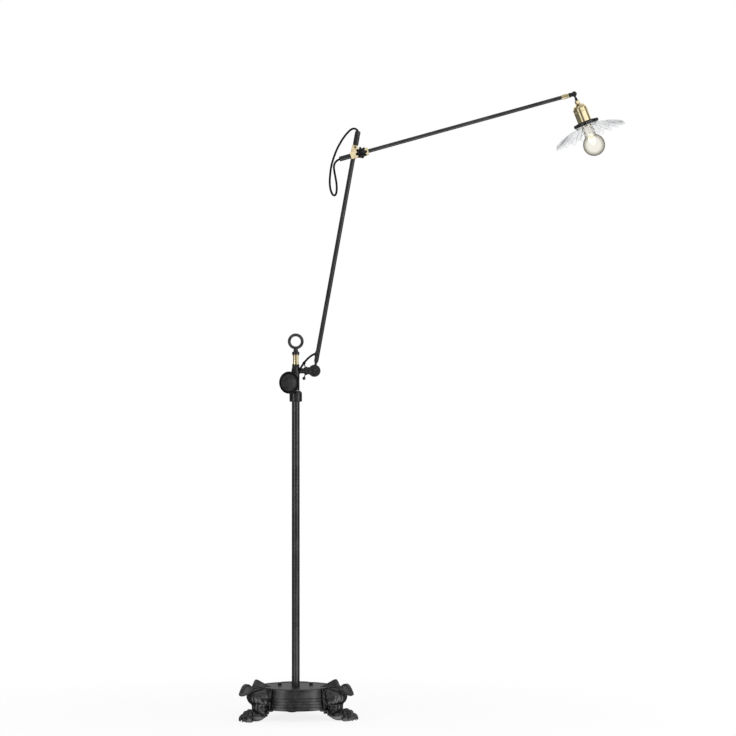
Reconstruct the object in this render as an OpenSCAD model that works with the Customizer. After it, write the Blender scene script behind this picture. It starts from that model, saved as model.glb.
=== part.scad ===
// Swing arm floor lamp: a heavy drum on three claw feet carries a pipe pole. On the pole turns a
// swing head with an elbow. A leaning lower arm, a cross clamp and a sliding upper arm hold a brass
// lamp head with a fluted glass shade. The origin is on the floor under the pole, +X is towards the
// lamp head, +Z is up, and every length is in millimetres.

/* [Base] */
// Radius of the drum at its top bead
drum_r = 103; // [96:0.5:110]
// Height of the drum
drum_h = 59; // [50:0.5:70]
// Height of the drum's underside above the floor
drum_lift = 28; // [26:0.5:34]
// Depth of the drum's side wall behind its top bead
bead_depth = 1.5; // [1:0.1:2.5]
// Thickness of the cover plate
cover_t = 4; // [3:0.5:6]
// Depth of the cover plate's top below the drum's rim
cover_drop = 1; // [0.5:0.1:2]
// Width of the rim round the cover plate
rim_w = 6; // [5:0.5:8]
// Number of ring grooves round the drum
groove_count = 4; // [2:1:5]
// Height of one ring groove
groove_w = 2.4; // [1.5:0.1:3.5]
// Radius of the circle that the cover bolts stand on
bolt_circle_r = 49; // [42:0.5:60]
// Diameter of the cover bolts
bolt_d = 6; // [5:0.5:8]
// Diameter of the round bolt heads
bolt_head_d = 11.5; // [11:0.5:13]
// Height of the bolt heads
bolt_head_h = 6; // [4:0.5:7]
// Diameter of the hole for the mains cord
outlet_d = 8; // [6:0.5:9]
// Direction of the mains cord's hole round the drum
outlet_angle = 150; // [140:1:160]

/* [Claw feet] */
// Turn of the base about the pole
base_turn = 3.5; // [0:0.5:8]
// Reach of the claws from the pole's axis
claw_reach = 176; // [170:0.5:182]
// Distance of the ankle's axis from the pole's axis
ankle_x = 118; // [117:0.5:121]
// Sideways offset of the ankle and the paw from the foot's middle line
paw_shift = 5; // [0:0.5:8]
// Radius of the foot's rounded knee
knee_r = 37; // [33:0.5:39]
// Radius of the ankle at its narrowest
ankle_r = 19; // [16:0.5:20]
// Width of the paw behind its toes
paw_w = 56; // [50:0.5:60]
// Height of the paw
paw_h = 32; // [29:0.5:34]
// Number of toes on a paw
toe_count = 4; // [3:1:5]
// Number of flutes round the ankle
flute_count = 8; // [6:1:12]
// Height of the inner leaf's peak above the drum
leaf_rise = 24; // [20:0.5:28]
// Width of the two leaves at their foot
leaf_w = 18; // [14:0.5:22]

/* [Pole] */
// Outer diameter of the pole, a half inch iron pipe
pole_od = 21.3; // [20:0.1:24]
// Wall of the pole
pole_wall = 2.75; // [2:0.05:3.2]
// Height of the pole's top end above the floor
pole_top = 868; // [760:1:960]

/* [Swing head] */
// Outer diameter of the collar on the pole's top
collar_od = 34; // [30:0.5:36]
// Length of pole that the collar grips
collar_grip = 15; // [12:0.5:20]
// Height of the collar above the pole's end
collar_rise = 14; // [10:0.5:18]
// Diameter of the spindle that the head turns on
spindle_d = 12; // [11:0.1:13]
// Diameter of the wire's passage through the spindle
passage_d = 7; // [6.5:0.1:7.5]
// Outer diameter of the swivel body
swivel_od = 20.5; // [20:0.1:23]
// Height of the swivel body
swivel_h = 44; // [40:0.5:50]
// Height of the lock wheel's axis above the swivel body's underside
lock_rise = 21; // [19:0.5:22]
// Diameter of the lock wheel
wheel_d = 60; // [54:0.5:64]
// Thickness of the lock wheel's rim
wheel_t = 9; // [7:0.5:11]
// Distance of the lock wheel's front rim from the pole's axis
wheel_reach = 41; // [38:0.5:46]
// Angle of the lock wheel's axis away from the front
wheel_angle = 27; // [20:1:35]
// Diameter of the lock stud
lock_stud_d = 8; // [6:0.5:9]
// Radius of the bell hub's foot
hub_r = 12; // [11.5:0.1:13]
// Height of the bell hub
hub_h = 19; // [18:0.5:24]
// Height of the black nut under the spacer
lower_nut_h = 7; // [5:0.5:9]
// Height of the brass spacer
spacer_h = 26; // [18:0.5:34]
// Diameter of the brass spacer
spacer_d = 18; // [14:0.5:20]
// Height of the black nut over the spacer
upper_nut_h = 12; // [9:0.5:15]
// Outer diameter of the eye ring
ring_od = 43; // [36:0.5:46]
// Thickness of the eye ring's round bar
ring_bar = 8; // [5.5:0.5:9]

/* [Elbow] */
// Distance of the elbow's pivot from the pole's axis
elbow_x = 50.5; // [49:0.5:56]
// Radius of the elbow's round cheeks
knuckle_r = 16.4; // [15:0.1:18]
// Thickness of one cheek
cheek_t = 5; // [4:0.1:6]
// Thickness of the arm's eye between the cheeks
eye_t = 7.8; // [6.5:0.1:10]
// Diameter of the elbow bolt
elbow_bolt_d = 8; // [6:0.5:9]
// Diameter of the neck's spigot in the fork
spigot_d = 11; // [10:0.1:12]
// Diameter of the fork's flange and of the wing lever's ring
flange_d = 23; // [20:0.5:26]
// Reach of the wing lever's balls from the neck's axis
wing_reach = 20.5; // [19:0.5:24]
// Diameter of the wing lever's balls
wing_ball_d = 8.8; // [7:0.1:9.5]

/* [Lower arm] */
// Lean of the lower arm from upright
lean = 10.3; // [6:0.1:14]
// Outer diameter of the lower tube
lower_od = 12; // [11:0.1:13]
// Wall of the lower tube
lower_wall = 1.5; // [1:0.05:1.5]
// Distance of the lower tube's foot from the elbow
lower_start = 26; // [24:0.5:32]
// Distance of the lower tube's top from the elbow
lower_end = 655; // [640:1:700]
// Length of the sleeve at the lower tube's top
lower_sleeve_l = 36; // [26:0.5:36]
// Outer diameter of that sleeve
lower_sleeve_od = 14.8; // [14:0.1:16]
// Distance of the cord's side hole from the elbow
side_hole_s = 50; // [48:0.5:54]

/* [Cross clamp] */
// Distance of the clamp's pivot along the lower arm
pivot_s = 599.5; // [560:0.5:600]
// Distance of the clamp's pivot beside the lower arm
pivot_side = 20; // [18:0.5:24]
// Length of the rear block along the lower arm
rear_block_l = 36; // [30:0.5:36]
// Thickness of the rear block
rear_block_t = 18; // [17:0.5:20]
// Radius of the rear block's round ear
ear_r = 12; // [10:0.5:14]
// Diameter of the pivot stud
pivot_d = 10; // [8:0.5:11]
// Thickness of the front block
front_block_t = 18.4; // [18:0.1:19]
// Distance of the upper arm's axis from the front block's back
front_depth = 9.7; // [9.2:0.1:10]
// Height of the front block across the upper arm
front_block_h = 19; // [17:0.5:22]
// Length of the front block behind the pivot
front_back_l = 30; // [24:0.5:30]
// Length of the front block before the pivot
front_fore_l = 19; // [16:0.5:24]
// Radius of the star knob
knob_r = 16; // [13:0.5:17]
// Thickness of the star knob
knob_t = 10; // [8:0.5:13]
// Number of points on the star knob
knob_points = 8; // [6:1:10]
// Diameter of the star knob's stud
knob_stud_d = 6; // [5:0.5:8]

/* [Upper arm] */
// Rise of the upper arm above level
rise = 15.5; // [10:0.5:20]
// Outer diameter of the upper tube
upper_od = 10.5; // [10:0.1:11.5]
// Wall of the upper tube
upper_wall = 1.25; // [0.8:0.05:1.3]
// Length of the upper tube behind the pivot
upper_tail = 60; // [60:0.5:66]
// Length of the tail sleeve
tail_sleeve_l = 29.5; // [20:0.5:29.5]
// Outer diameter of the tail sleeve
tail_sleeve_od = 13.5; // [13:0.1:15]
// Distance of the head's pivot from the clamp's pivot
head_reach = 594; // [500:1:640]

/* [Lamp head] */
// Lean of the lamp head's axis from straight down
head_lean = 21.5; // [10:0.5:30]
// Diameter of the socket shell
shell_d = 39; // [38:0.5:42]
// Wall of the socket shell and its cap
shell_wall = 0.8; // [0.6:0.05:1]
// Length of the socket shell
shell_l = 36; // [35:0.5:42]
// Length of the domed cap
cap_l = 19; // [16:0.5:24]
// Diameter of the shade holder
holder_d = 63; // [62.5:0.1:66]
// Height of the shade holder's rim
holder_h = 10; // [9:0.5:12]
// Number of thumbscrews round the holder
thumb_count = 3; // [2:1:4]

/* [Shade and bulb] */
// Diameter of the shade's neck, a standard fitter size
fitter_d = 57; // [55:0.1:57.5]
// Radius of the shade's rim
shade_r = 98; // [90:0.5:110]
// Depth of the shade from its neck to its rim
shade_depth = 37; // [32:0.5:50]
// Thickness of the shade's glass
shade_t = 2.6; // [2.2:0.1:3.5]
// Number of flutes round the shade
shade_flutes = 22; // [16:1:26]
// Depth of the flutes at the rim
flute_depth = 3.2; // [1.5:0.1:4]
// Diameter of the bulb's globe
globe_d = 60; // [55:0.5:64]
// Thickness of the bulb's glass
bulb_wall = 0.8; // [0.6:0.05:1]
// Diameter of the bulb's screw base
bulb_base_d = 26; // [25:0.1:26.4]

/* [Cord] */
// Diameter of the cloth covered cord
cord_d = 5.6; // [5:0.1:6]

/* [Hidden] */

// Clearances: a running fit, a seat between fixed pieces, and a free gap
run_gap = 0.05;
seat_gap = 0.05;
free_gap = 0.3;

// Colours as the photograph shows them
iron = [0.07, 0.07, 0.07];
cast = [0.16, 0.16, 0.16];
brass = [0.78, 0.62, 0.32];
steel = [0.62, 0.62, 0.6];
cloth = [0.04, 0.04, 0.04];
rubber = [0.05, 0.05, 0.05];
ceramic = [0.86, 0.84, 0.78];
clear = [0.9, 0.93, 0.93, 0.35];

$fn = 48;
small = 24;

// Heights up the pole, worked out from the pieces below
drum_top = drum_lift + drum_h;
cover_top = drum_top - cover_drop;
web_top = cover_top - cover_t;
recess_r = 30;
recess_h = 24;
web_bottom = drum_lift + recess_h;
locknut_h = 8;
lockwasher_t = 2;
pole_foot = web_bottom - lockwasher_t - locknut_h - 2;
pole_r = pole_od / 2;
pole_bore_r = pole_r - pole_wall;
collar_bottom = pole_top - collar_grip;
collar_top = pole_top + collar_rise;
spindle_r = spindle_d / 2;
passage_r = passage_d / 2;
washer_t = 1.5;
swivel_z = collar_top + washer_t + free_gap;
swivel_top = swivel_z + swivel_h;
lock_z = swivel_z + lock_rise;
spindle_nut_h = 5.7;
spindle_top = swivel_top + free_gap + spindle_nut_h;
neck_z = swivel_top + 8.7;
hub_top = swivel_top + hub_h;
hub_top_r = 9.8;
cavity_r = 9.4;
nipple_r = 5;
spacer_z = hub_top + lower_nut_h;
upper_nut_z = spacer_z + spacer_h;
ring_foot_z = upper_nut_z + upper_nut_h;
ring_z = ring_foot_z + ring_od / 2 + 2.5;

// Elbow
flange_x = 28;
flange_t = 3;
root_end_x = elbow_x - 14.2;
cheek_y = eye_t / 2 + free_gap;
eye_r = knuckle_r - 2.8;
retainer_r = spigot_d / 2 + 1.2;
retainer_t = 1.8;
spigot_end_x = root_end_x - retainer_t - 0.4;
wing_t = 3.2;
wing_x = flange_x - free_gap - wing_t;
spigot_r = spigot_d / 2;
neck_r = 7.2;

// Arms
lower_r = lower_od / 2;
lower_bore_r = lower_r - lower_wall;
upper_r = upper_od / 2;
upper_bore_r = upper_r - upper_wall;
liner_t = 1.2;
liner_r = upper_r + run_gap + liner_t;
// The knob's boss ends this far before the upper arm's axis
boss_end = front_block_t - front_depth + 1.5;
front_y = -rear_block_t / 2 - free_gap;
arm_y = front_y - front_depth;
pivot_x = elbow_x + pivot_s * sin(lean) + pivot_side * cos(lean);
pivot_z = neck_z + pivot_s * cos(lean) - pivot_side * sin(lean);
pivot_r = pivot_d / 2;
cord_r = cord_d / 2;

// Head, measured along its own axis from its pivot
ferrule_r = 6.7;
ferrule_l = 20;
swivel_collar_l = 8.7;
fork_u = head_reach - 6 - swivel_collar_l;
ferrule_u = fork_u - free_gap - ferrule_l;
tube_seat = 7;
eye2_r = 7;
eye2_t = 5.6;
cheek2_t = 3;
pin_r = 2.5;
stem_end = 20;
nut_end = stem_end + 8.2;
cap_z = nut_end + 0.3;
shell_r = shell_d / 2;
shell_z = cap_z + cap_l;
shell_end = shell_z + shell_l;
holder_z = shell_end - 4;
holder_r = holder_d / 2;
holder_wall = 1.4;
fitter_r = fitter_d / 2;
shade_z = holder_z + 2.8;
core_z = shell_z - 6;
core_t = 8;
screw_r = bulb_base_d / 2 + 1.2;
base_r = bulb_base_d / 2;
base_z = core_z + core_t + 2.6;
base_end = shell_end - 3.5;
globe_r = globe_d / 2;
globe_z = base_end + 67;

// Cord routes, hand placed: the jumper's course is measured from the neck and the loop's from the
// clamp's pivot. Each cord is held by two pieces, which part at one of its points.
jumper_course = [
    [3, -3, 0.7], [8, -8, 2], [13, -11, 7], [18, -11.5, 14.5], [23.5, -10.5, 22.5],
    [30, -8, 30], [34.5, -6, 34.5], [40, -3.5, 39.1], [46, -0.8, 43.1], [50, 0, 45.1],
    [55, 0, 47.3], [59.2, 0, 49.1]
];
jumper = [for (p = jumper_course) p + [0, 0, neck_z]];
jumper_split = 5;
loop_course = [
    [-12.47, 0, 43.24], [-10.77, 0, 48.74], [-9.37, 0, 54.24], [-9.57, -0.2, 59.24], [-12.17, -0.6, 63.64],
    [-16.67, -1.2, 66.44], [-22.17, -2, 67.04], [-26.87, -2.8, 65.24], [-34.37, -4.2, 59.04], [-43.37, -6, 48.74],
    [-53.37, -8, 34.24], [-64.87, -10.5, 13.24], [-74.37, -12.5, -10.76], [-81.37, -14, -35.76], [-84.57, -14.5, -60.76],
    [-85.37, -14.8, -81.76], [-83.17, -17, -98.26], [-78.57, -22, -110.26], [-72.87, -29.5, -114.76], [-68.37, -37.5, -110.76],
    [-66.37, -41.5, -99.76], [-66.87, -40.5, -84.76], [-69.37, -36.5, -68.76], [-72.37, -31.5, -52.76], [-74.07, -26.5, -39.26],
    [-71.87, -22.3, -28.26], [-65.37, -19.8, -20.26], [-56.87, -19, -15.96], [-47.87, -19, -13.46]
];
loop = [for (p = loop_course) p + [pivot_x, 0, pivot_z]];
loop_split = 18;

// A tube standing on the XY plane
module tube(outer_r, inner_r, h) {
    difference() {
        cylinder(r = outer_r, h = h);
        translate([0, 0, -1]) cylinder(r = inner_r, h = h + 2);
    }
}

// A plain or pierced hexagonal nut, measured across its flats
module hex_nut(flats, inner_r, h) {
    difference() {
        intersection() {
            cylinder(r = flats / sqrt(3), h = h, $fn = 6);
            cylinder(r = flats / 2 * 1.09, h = h);
        }
        translate([0, 0, -1]) cylinder(r = inner_r, h = h + 2);
    }
}

// Places a child in the lower arm's frame: local Z runs up the arm from the elbow
module on_lower(s = 0) {
    translate([elbow_x, 0, neck_z]) rotate([0, lean, 0]) translate([0, 0, s]) children();
}

// Places a child in the upper arm's frame: local Z runs out along the arm from the clamp's pivot
module on_upper(u = 0) {
    translate([pivot_x, arm_y, pivot_z]) rotate([0, 90 - rise, 0]) translate([0, 0, u]) children();
}

// Places a child in the lamp head's frame: local Z runs down the head's axis from its pivot
module on_head(z = 0) {
    on_upper(head_reach) rotate([0, 90 + rise - head_lean, 0]) translate([0, 0, z]) children();
}

// Places a child on the elbow's neck: local Z runs along +X
module on_neck(x = 0) {
    translate([x, 0, neck_z]) rotate([0, 90, 0]) children();
}

// Places a child on the lock wheel's axis: local Z runs outwards
module on_lock(r = 0) {
    translate([0, 0, lock_z]) rotate([90, 0, -wheel_angle]) translate([0, 0, r]) children();
}

// A cord swept along a stretch of its route, one ring of sides at each point, square to the bend
function direction(p, i) = let (a = p[max(i - 1, 0)], b = p[min(i + 1, len(p) - 1)])
    (b - a) / norm(b - a);
function square_to(d) = let (v = cross(d, [0, 1, 0]), w = norm(v) > 0.2 ? v : cross(d, [1, 0, 0]))
    w / norm(w);
module cord(route, first, last, sides = 10) {
    n = last - first + 1;
    r = cord_r;
    rings = [for (i = [first:last]) let (d = direction(route, i), a = square_to(d), b = cross(d, a))
        for (k = [0:sides - 1]) route[i] + r * (cos(360 * k / sides) * a + sin(360 * k / sides) * b)];
    walls = [for (i = [0:n - 2], k = [0:sides - 1]) let (a = i * sides, b = a + sides, k2 = (k + 1) % sides)
        each [[a + k, b + k, b + k2], [a + k, b + k2, a + k2]]];
    ends = [[for (k = [0:sides - 1]) k], [for (k = [sides - 1:-1:0]) (n - 1) * sides + k]];
    polyhedron(points = rings, faces = concat(walls, ends));
}

// Base

module bolt_places() {
    for (a = [30, 150, 270]) rotate(a + base_turn) translate([bolt_circle_r, 0, 0]) children();
}

foot_angles = [210, 330, 90];
tongue_x = 78;
tongue_w = 34;
tongue_t = 6;
foot_bolt_x = 90;

module foot_places() {
    for (a = foot_angles) rotate(a + base_turn) children();
}

module base_drum() {
    wall_r = drum_r - bead_depth;
    groove_step = (drum_h - 20) / (groove_count + 1);
    color(cast) difference() {
        rotate_extrude($fn = 96) difference() {
            union() {
                translate([0, drum_lift]) square([wall_r - 2, drum_h]);
                translate([0, drum_lift + 2]) square([wall_r, drum_h - 4]);
                translate([wall_r - 2, drum_lift + 2]) circle(r = 2, $fn = small);
                translate([0, drum_top - 6]) square([wall_r, 6]);
                translate([drum_r - 3, drum_top - 3]) circle(r = 3, $fn = small);
            }
            for (i = [1:groove_count])
                translate([wall_r, drum_lift + 2 + i * groove_step]) circle(d = groove_w, $fn = small);
        }
        translate([0, 0, web_top]) cylinder(r = drum_r - rim_w, h = drum_h, $fn = 96);
        cylinder(r = pole_r + seat_gap, h = drum_top * 2);
        translate([0, 0, -1]) cylinder(r = recess_r, h = web_bottom + 1);
        bolt_places() translate([0, 0, web_top - 16]) cylinder(d = bolt_d + 0.1, h = 20, $fn = small);
        foot_places() translate([foot_bolt_x, 0, 0])
            cylinder(d = bolt_d + 0.1, h = drum_lift + 18, $fn = small);
        rotate(outlet_angle) translate([0, 0, drum_lift + 14]) rotate([0, 90, 0])
            cylinder(d = outlet_d + 5.1, h = drum_r + 5);
    }
}

module cover_plate() {
    color(cast) translate([0, 0, web_top]) difference() {
        cylinder(r = drum_r - rim_w - 0.2, h = cover_t, $fn = 96);
        translate([0, 0, -1]) cylinder(r = pole_r + seat_gap, h = cover_t + 2);
        bolt_places() translate([0, 0, -1]) cylinder(d = bolt_d + 0.6, h = cover_t + 2, $fn = small);
    }
}

module hex_bolt(shank) {
    translate([0, 0, -shank]) cylinder(d = bolt_d, h = shank + 0.5, $fn = small);
    cylinder(d = bolt_head_d, h = 1, $fn = small);
    cylinder(r = bolt_head_d / 2 - 0.2, h = bolt_head_h, $fn = 6);
}

module base_bolts() {
    color(iron) {
        bolt_places() translate([0, 0, cover_top]) hex_bolt(cover_t + 12);
        foot_places() translate([foot_bolt_x, 0, drum_lift - tongue_t - 0.1]) mirror([0, 0, 1])
            hex_bolt(tongue_t + 14);
    }
}

// A round toe with its claw, from the paw's top to the floor
module toe(angle) {
    reach = claw_reach - ankle_x;
    translate([ankle_x, paw_shift, 0]) rotate(angle) {
        hull() {
            translate([reach / 2, 0, paw_h - 11]) sphere(r = 10, $fn = 14);
            translate([reach - 12.5, 0, 9]) sphere(r = 8.6, $fn = 14);
        }
        hull() {
            translate([reach - 8, 0, 10]) sphere(r = 4.2, $fn = 10);
            translate([reach - 1.2, 0, 1.3]) sphere(r = 1.2, $fn = 8);
        }
    }
}

module paw() {
    intersection() {
        union() {
            hull() {
                translate([ankle_x + 1, paw_shift, 17]) scale([1, 1, 0.62]) sphere(r = 20.5, $fn = 20);
                translate([ankle_x + 12, paw_shift, 13]) scale([1, 1, 0.54]) sphere(r = paw_w / 2, $fn = 24);
            }
            for (i = [0:toe_count - 1]) toe((i - (toe_count - 1) / 2) * 64 / toe_count);
        }
        translate([0, -paw_w, 0]) cube([claw_reach * 2, paw_w * 2, paw_h + 8]);
    }
}

// The knee's round bowl, the fluted ankle and the pad against the drum
module leg() {
    knee_z = drum_lift + drum_h * 0.6;
    translate([ankle_x - 4, paw_shift / 2, knee_z]) rotate_extrude($fn = 32) polygon([
        [0, -25], [knee_r * 0.52, -24], [knee_r * 0.82, -18], [knee_r * 0.96, -9], [knee_r, 0],
        [knee_r * 0.97, 8], [knee_r * 0.85, 15], [knee_r * 0.6, 20], [0, 21]
    ]);
    translate([ankle_x, paw_shift, paw_h]) difference() {
        rotate_extrude($fn = 30) polygon([
            [0, -14], [ankle_r + 3, -14], [ankle_r + 1.5, -4], [ankle_r, 3], [ankle_r + 2, 12],
            [ankle_r + 7, 22], [0, 24]
        ]);
        for (i = [0:flute_count - 1]) rotate((i + 0.5) * 360 / flute_count)
            translate([ankle_r + 2, 0, -6]) cylinder(r = 2.6, h = 27, $fn = 8);
    }
    rotate(-19) rotate_extrude(angle = 38, $fn = 72) translate([drum_r, drum_lift + 6])
        square([3.6, drum_h - 6]);
}

// A folded leaf: a ridge of round points over the two sides of its foot
module leaf(ridge, sides) {
    hull() {
        for (p = ridge) translate([p[0], 0, p[1]]) sphere(r = p[2], $fn = 10);
        for (p = sides, side = [-1, 1])
            translate([p[0], side * leaf_w / 2, p[1]]) sphere(r = 1.5, $fn = 8);
    }
}

module foot_body() {
    lip = drum_top + 1.8;
    leaf_y = -paw_shift * 0.6;
    difference() {
        union() {
            paw();
            leg();
            translate([0, leaf_y, 0]) {
                leaf([[drum_r + 40, drum_top + 8, 2.5], [drum_r + 50, drum_top + 10.5, 2.5],
                    [drum_r + 58, drum_top + 8.5, 2.5], [drum_r + 72.5, drum_top - 14, 2.5]],
                    [[drum_r + 42, drum_top - 6], [drum_r + 66, drum_top - 18]]);
                translate([drum_r + 41, 0, drum_top - 9]) sphere(r = 9, $fn = 14);
                translate([drum_r, 2 - leaf_w / 2, drum_top - 10]) cube([32, leaf_w - 4, 14]);
            }
        }
        cylinder(r = drum_r + 0.2, h = lip * 2, $fn = 96);
    }
    translate([0, leaf_y, 0])
        leaf([[drum_r - 26, lip + 1.2, 1.2], [drum_r + 17, drum_top + leaf_rise - 2, 2],
            [drum_r + 23, drum_top + leaf_rise - 2.5, 2], [drum_r + 30, drum_top + 8, 2]],
            [[drum_r + 1, lip + 1.5], [drum_r + 28, lip]]);
    difference() {
        translate([tongue_x, -tongue_w / 2, drum_lift - tongue_t - 0.1])
            cube([ankle_x - tongue_x, tongue_w, tongue_t]);
        translate([foot_bolt_x, 0, 0]) cylinder(d = bolt_d + 0.8, h = drum_lift * 2, $fn = small);
    }
}

module claw_feet() {
    color(cast) foot_places() foot_body();
}

module cord_bushing() {
    color(rubber) rotate(outlet_angle) translate([drum_r - 13, 0, drum_lift + 14]) rotate([0, 90, 0])
        difference() {
            union() {
                cylinder(d = outlet_d + 5, h = 13);
                translate([0, 0, 12]) cylinder(d = outlet_d + 9, h = 3);
            }
            translate([0, 0, -1]) cylinder(d = outlet_d, h = 20);
        }
}

// Pole

module pole() {
    color(iron) translate([0, 0, pole_foot]) tube(pole_r, pole_bore_r, pole_top - pole_foot);
}

module pole_locknut() {
    color(steel) {
        translate([0, 0, web_bottom - lockwasher_t])
            tube(pole_r + 8, pole_r + seat_gap, lockwasher_t);
        translate([0, 0, web_bottom - lockwasher_t - locknut_h])
            hex_nut(pole_od + 10, pole_r + seat_gap, locknut_h);
    }
}

module pole_collar() {
    color(iron) difference() {
        translate([0, 0, collar_bottom]) rotate_extrude() polygon([
            [0, 0], [collar_od / 2 - 1.5, 0], [collar_od / 2, 1.5],
            [collar_od / 2, collar_grip + collar_rise - 6],
            [collar_od / 2 - 1.5, collar_grip + collar_rise - 2.5],
            [collar_od / 2 - 4.5, collar_grip + collar_rise], [0, collar_grip + collar_rise]
        ]);
        translate([0, 0, collar_bottom - 1]) cylinder(r = pole_r + seat_gap, h = collar_grip + 1);
        cylinder(r = spindle_r + seat_gap, h = collar_top + 1);
        for (a = [60, 120]) translate([0, 0, collar_bottom + collar_grip / 2]) rotate([0, 90, a])
            cylinder(r = 2.5 + seat_gap, h = collar_od, $fn = small);
    }
}

module collar_screws() {
    color(steel) for (a = [60, 120])
        translate([0, 0, collar_bottom + collar_grip / 2]) rotate([0, 90, a])
            translate([0, 0, pole_r + 0.1])
                cylinder(r = 2.5, h = collar_od / 2 - pole_r - 0.3, $fn = small);
}

module spindle() {
    color(steel) translate([0, 0, pole_top + 0.2])
        tube(spindle_r, passage_r, spindle_top - pole_top - 0.2);
}

module spindle_nut() {
    color(steel) translate([0, 0, swivel_top + free_gap])
        tube(cavity_r - 0.6, spindle_r + seat_gap, spindle_nut_h - 0.2);
}

module thrust_washer() {
    color(steel) translate([0, 0, collar_top]) tube(collar_od / 2 - 5.5, spindle_r + 0.2, washer_t);
}

module pole_wire() {
    color(cloth) translate([0, 0, pole_foot + 2]) cylinder(r = cord_r, h = spindle_top - pole_foot - 2);
}

// Swing head

module swivel_body() {
    bush_r = spindle_r + 2;
    color(iron) difference() {
        union() {
            translate([0, 0, swivel_z]) cylinder(d = swivel_od, h = swivel_h);
            on_lock() cylinder(r = 9, h = wheel_reach - wheel_t - 2);
        }
        translate([0, 0, swivel_z - 1]) cylinder(r = bush_r, h = swivel_h + 2);
        on_lock() cylinder(d = lock_stud_d + 2 * run_gap, h = wheel_reach);
    }
}

module bearing_bush() {
    color(brass) difference() {
        translate([0, 0, swivel_z]) tube(spindle_r + 2 - seat_gap, spindle_r + run_gap, swivel_h);
        on_lock() cylinder(d = lock_stud_d + 0.6, h = wheel_reach);
    }
}

module lock_wheel() {
    rim = wheel_d / 2;
    back = wheel_reach - wheel_t;
    color(iron) {
        on_lock(back) rotate_extrude($fn = 72) polygon([
            [0, 0], [rim - 12, 0], [rim - 9, 1.5], [rim - 2.5, 1.5], [rim - 0.7, 2.3], [rim, 4],
            [rim, wheel_t - 2.5], [rim - 0.8, wheel_t - 0.8], [rim - 2.5, wheel_t],
            [rim * 0.6, wheel_t + 1.2], [rim * 0.3, wheel_t + 1.8], [0, wheel_t + 2]
        ]);
        on_lock(spindle_r + free_gap) cylinder(d = lock_stud_d, h = back - spindle_r);
    }
}

module bell_hub() {
    web_t = 8;
    web_low = swivel_top + 1;
    arch_r = 10;
    neck_end = wing_x - free_gap;
    color(iron) difference() {
        union() {
            translate([0, 0, swivel_top]) rotate_extrude() polygon([
                [0, 0], [hub_r, 0], [hub_r, hub_h * 0.32], [hub_r - 0.6, hub_h * 0.55],
                [hub_top_r + 0.8, hub_h * 0.8], [hub_top_r, hub_h], [0, hub_h]
            ]);
            on_neck(0) cylinder(r = neck_r, h = neck_end);
            on_neck(neck_end - 2.2) cylinder(r = neck_r + 2, h = 2.2);
            on_neck(neck_end - 1) cylinder(r = spigot_r, h = spigot_end_x - neck_end + 1);
            // Arched web under the neck
            rotate([90, 0, 0]) linear_extrude(height = web_t, center = true) difference() {
                translate([0, web_low]) square([neck_end - 2, neck_z - web_low]);
                translate([neck_end - 2.5, web_low - 4]) circle(r = arch_r);
            }
        }
        translate([0, 0, swivel_top - 1]) rotate_extrude() polygon([
            [0, 0], [cavity_r, 0], [cavity_r, 10.6], [nipple_r, 14.5], [0, 14.5]
        ]);
        cylinder(r = nipple_r + seat_gap, h = hub_top + 1);
        on_neck(spigot_end_x - 9) cylinder(r = 2.5 + seat_gap, h = 20, $fn = small);
        translate([2, -2, neck_z + 0.8]) rotate([0, 80, -45]) cylinder(r = cord_r + 0.4, h = 20);
    }
}

module top_nipple() {
    color(steel) translate([0, 0, swivel_top + 13.8])
        cylinder(r = nipple_r, h = ring_foot_z - swivel_top - 14);
}

module lower_nut() {
    color(iron) translate([0, 0, hub_top]) difference() {
        rotate_extrude() polygon([
            [0, 0], [spacer_d / 2, 0], [spacer_d / 2 + 1, 1.2], [spacer_d / 2 + 1, lower_nut_h - 1],
            [spacer_d / 2, lower_nut_h], [0, lower_nut_h]
        ]);
        translate([0, 0, -1]) cylinder(r = nipple_r + seat_gap, h = lower_nut_h + 2);
    }
}

module brass_spacer() {
    r = spacer_d / 2;
    color(brass) translate([0, 0, spacer_z]) difference() {
        rotate_extrude() polygon([
            [0, 0], [r, 0], [r, 2.5], [r - 0.9, 3.5], [r - 0.9, spacer_h - 3.5], [r, spacer_h - 2.5],
            [r, spacer_h], [0, spacer_h]
        ]);
        translate([0, 0, -1]) cylinder(r = nipple_r + seat_gap, h = spacer_h + 2);
        translate([1, 0, spacer_h * 0.42]) rotate([90, 0, 0]) cylinder(r = 1.3, h = spacer_d, $fn = small);
    }
}

module upper_nut() {
    r = spacer_d / 2 + 1;
    color(iron) translate([0, 0, upper_nut_z]) difference() {
        rotate_extrude() polygon([
            [0, 0], [r - 0.6, 0], [r, 0.8], [r, upper_nut_h * 0.55], [r - 0.8, upper_nut_h * 0.66],
            [r - 3.6, upper_nut_h * 0.72], [r - 3.6, upper_nut_h], [0, upper_nut_h]
        ]);
        translate([0, 0, -1]) cylinder(r = nipple_r + seat_gap, h = upper_nut_h + 2);
    }
}

module eye_ring() {
    ring_r = (ring_od - ring_bar) / 2;
    color(iron) {
        translate([0, 0, ring_z]) rotate([90, 0, 0]) rotate_extrude($fn = 64)
            translate([ring_r, 0]) circle(d = ring_bar, $fn = 32);
        translate([0, 0, ring_foot_z]) cylinder(r1 = spacer_d / 2 - 2.6, r2 = ring_bar / 2, h = 6);
    }
}

module roll_screw() {
    color(steel) {
        on_neck(spigot_end_x - 8) cylinder(r = 2.5, h = 8.2, $fn = small);
        on_neck(spigot_end_x + 0.1) cylinder(r = retainer_r, h = retainer_t);
    }
}

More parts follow.
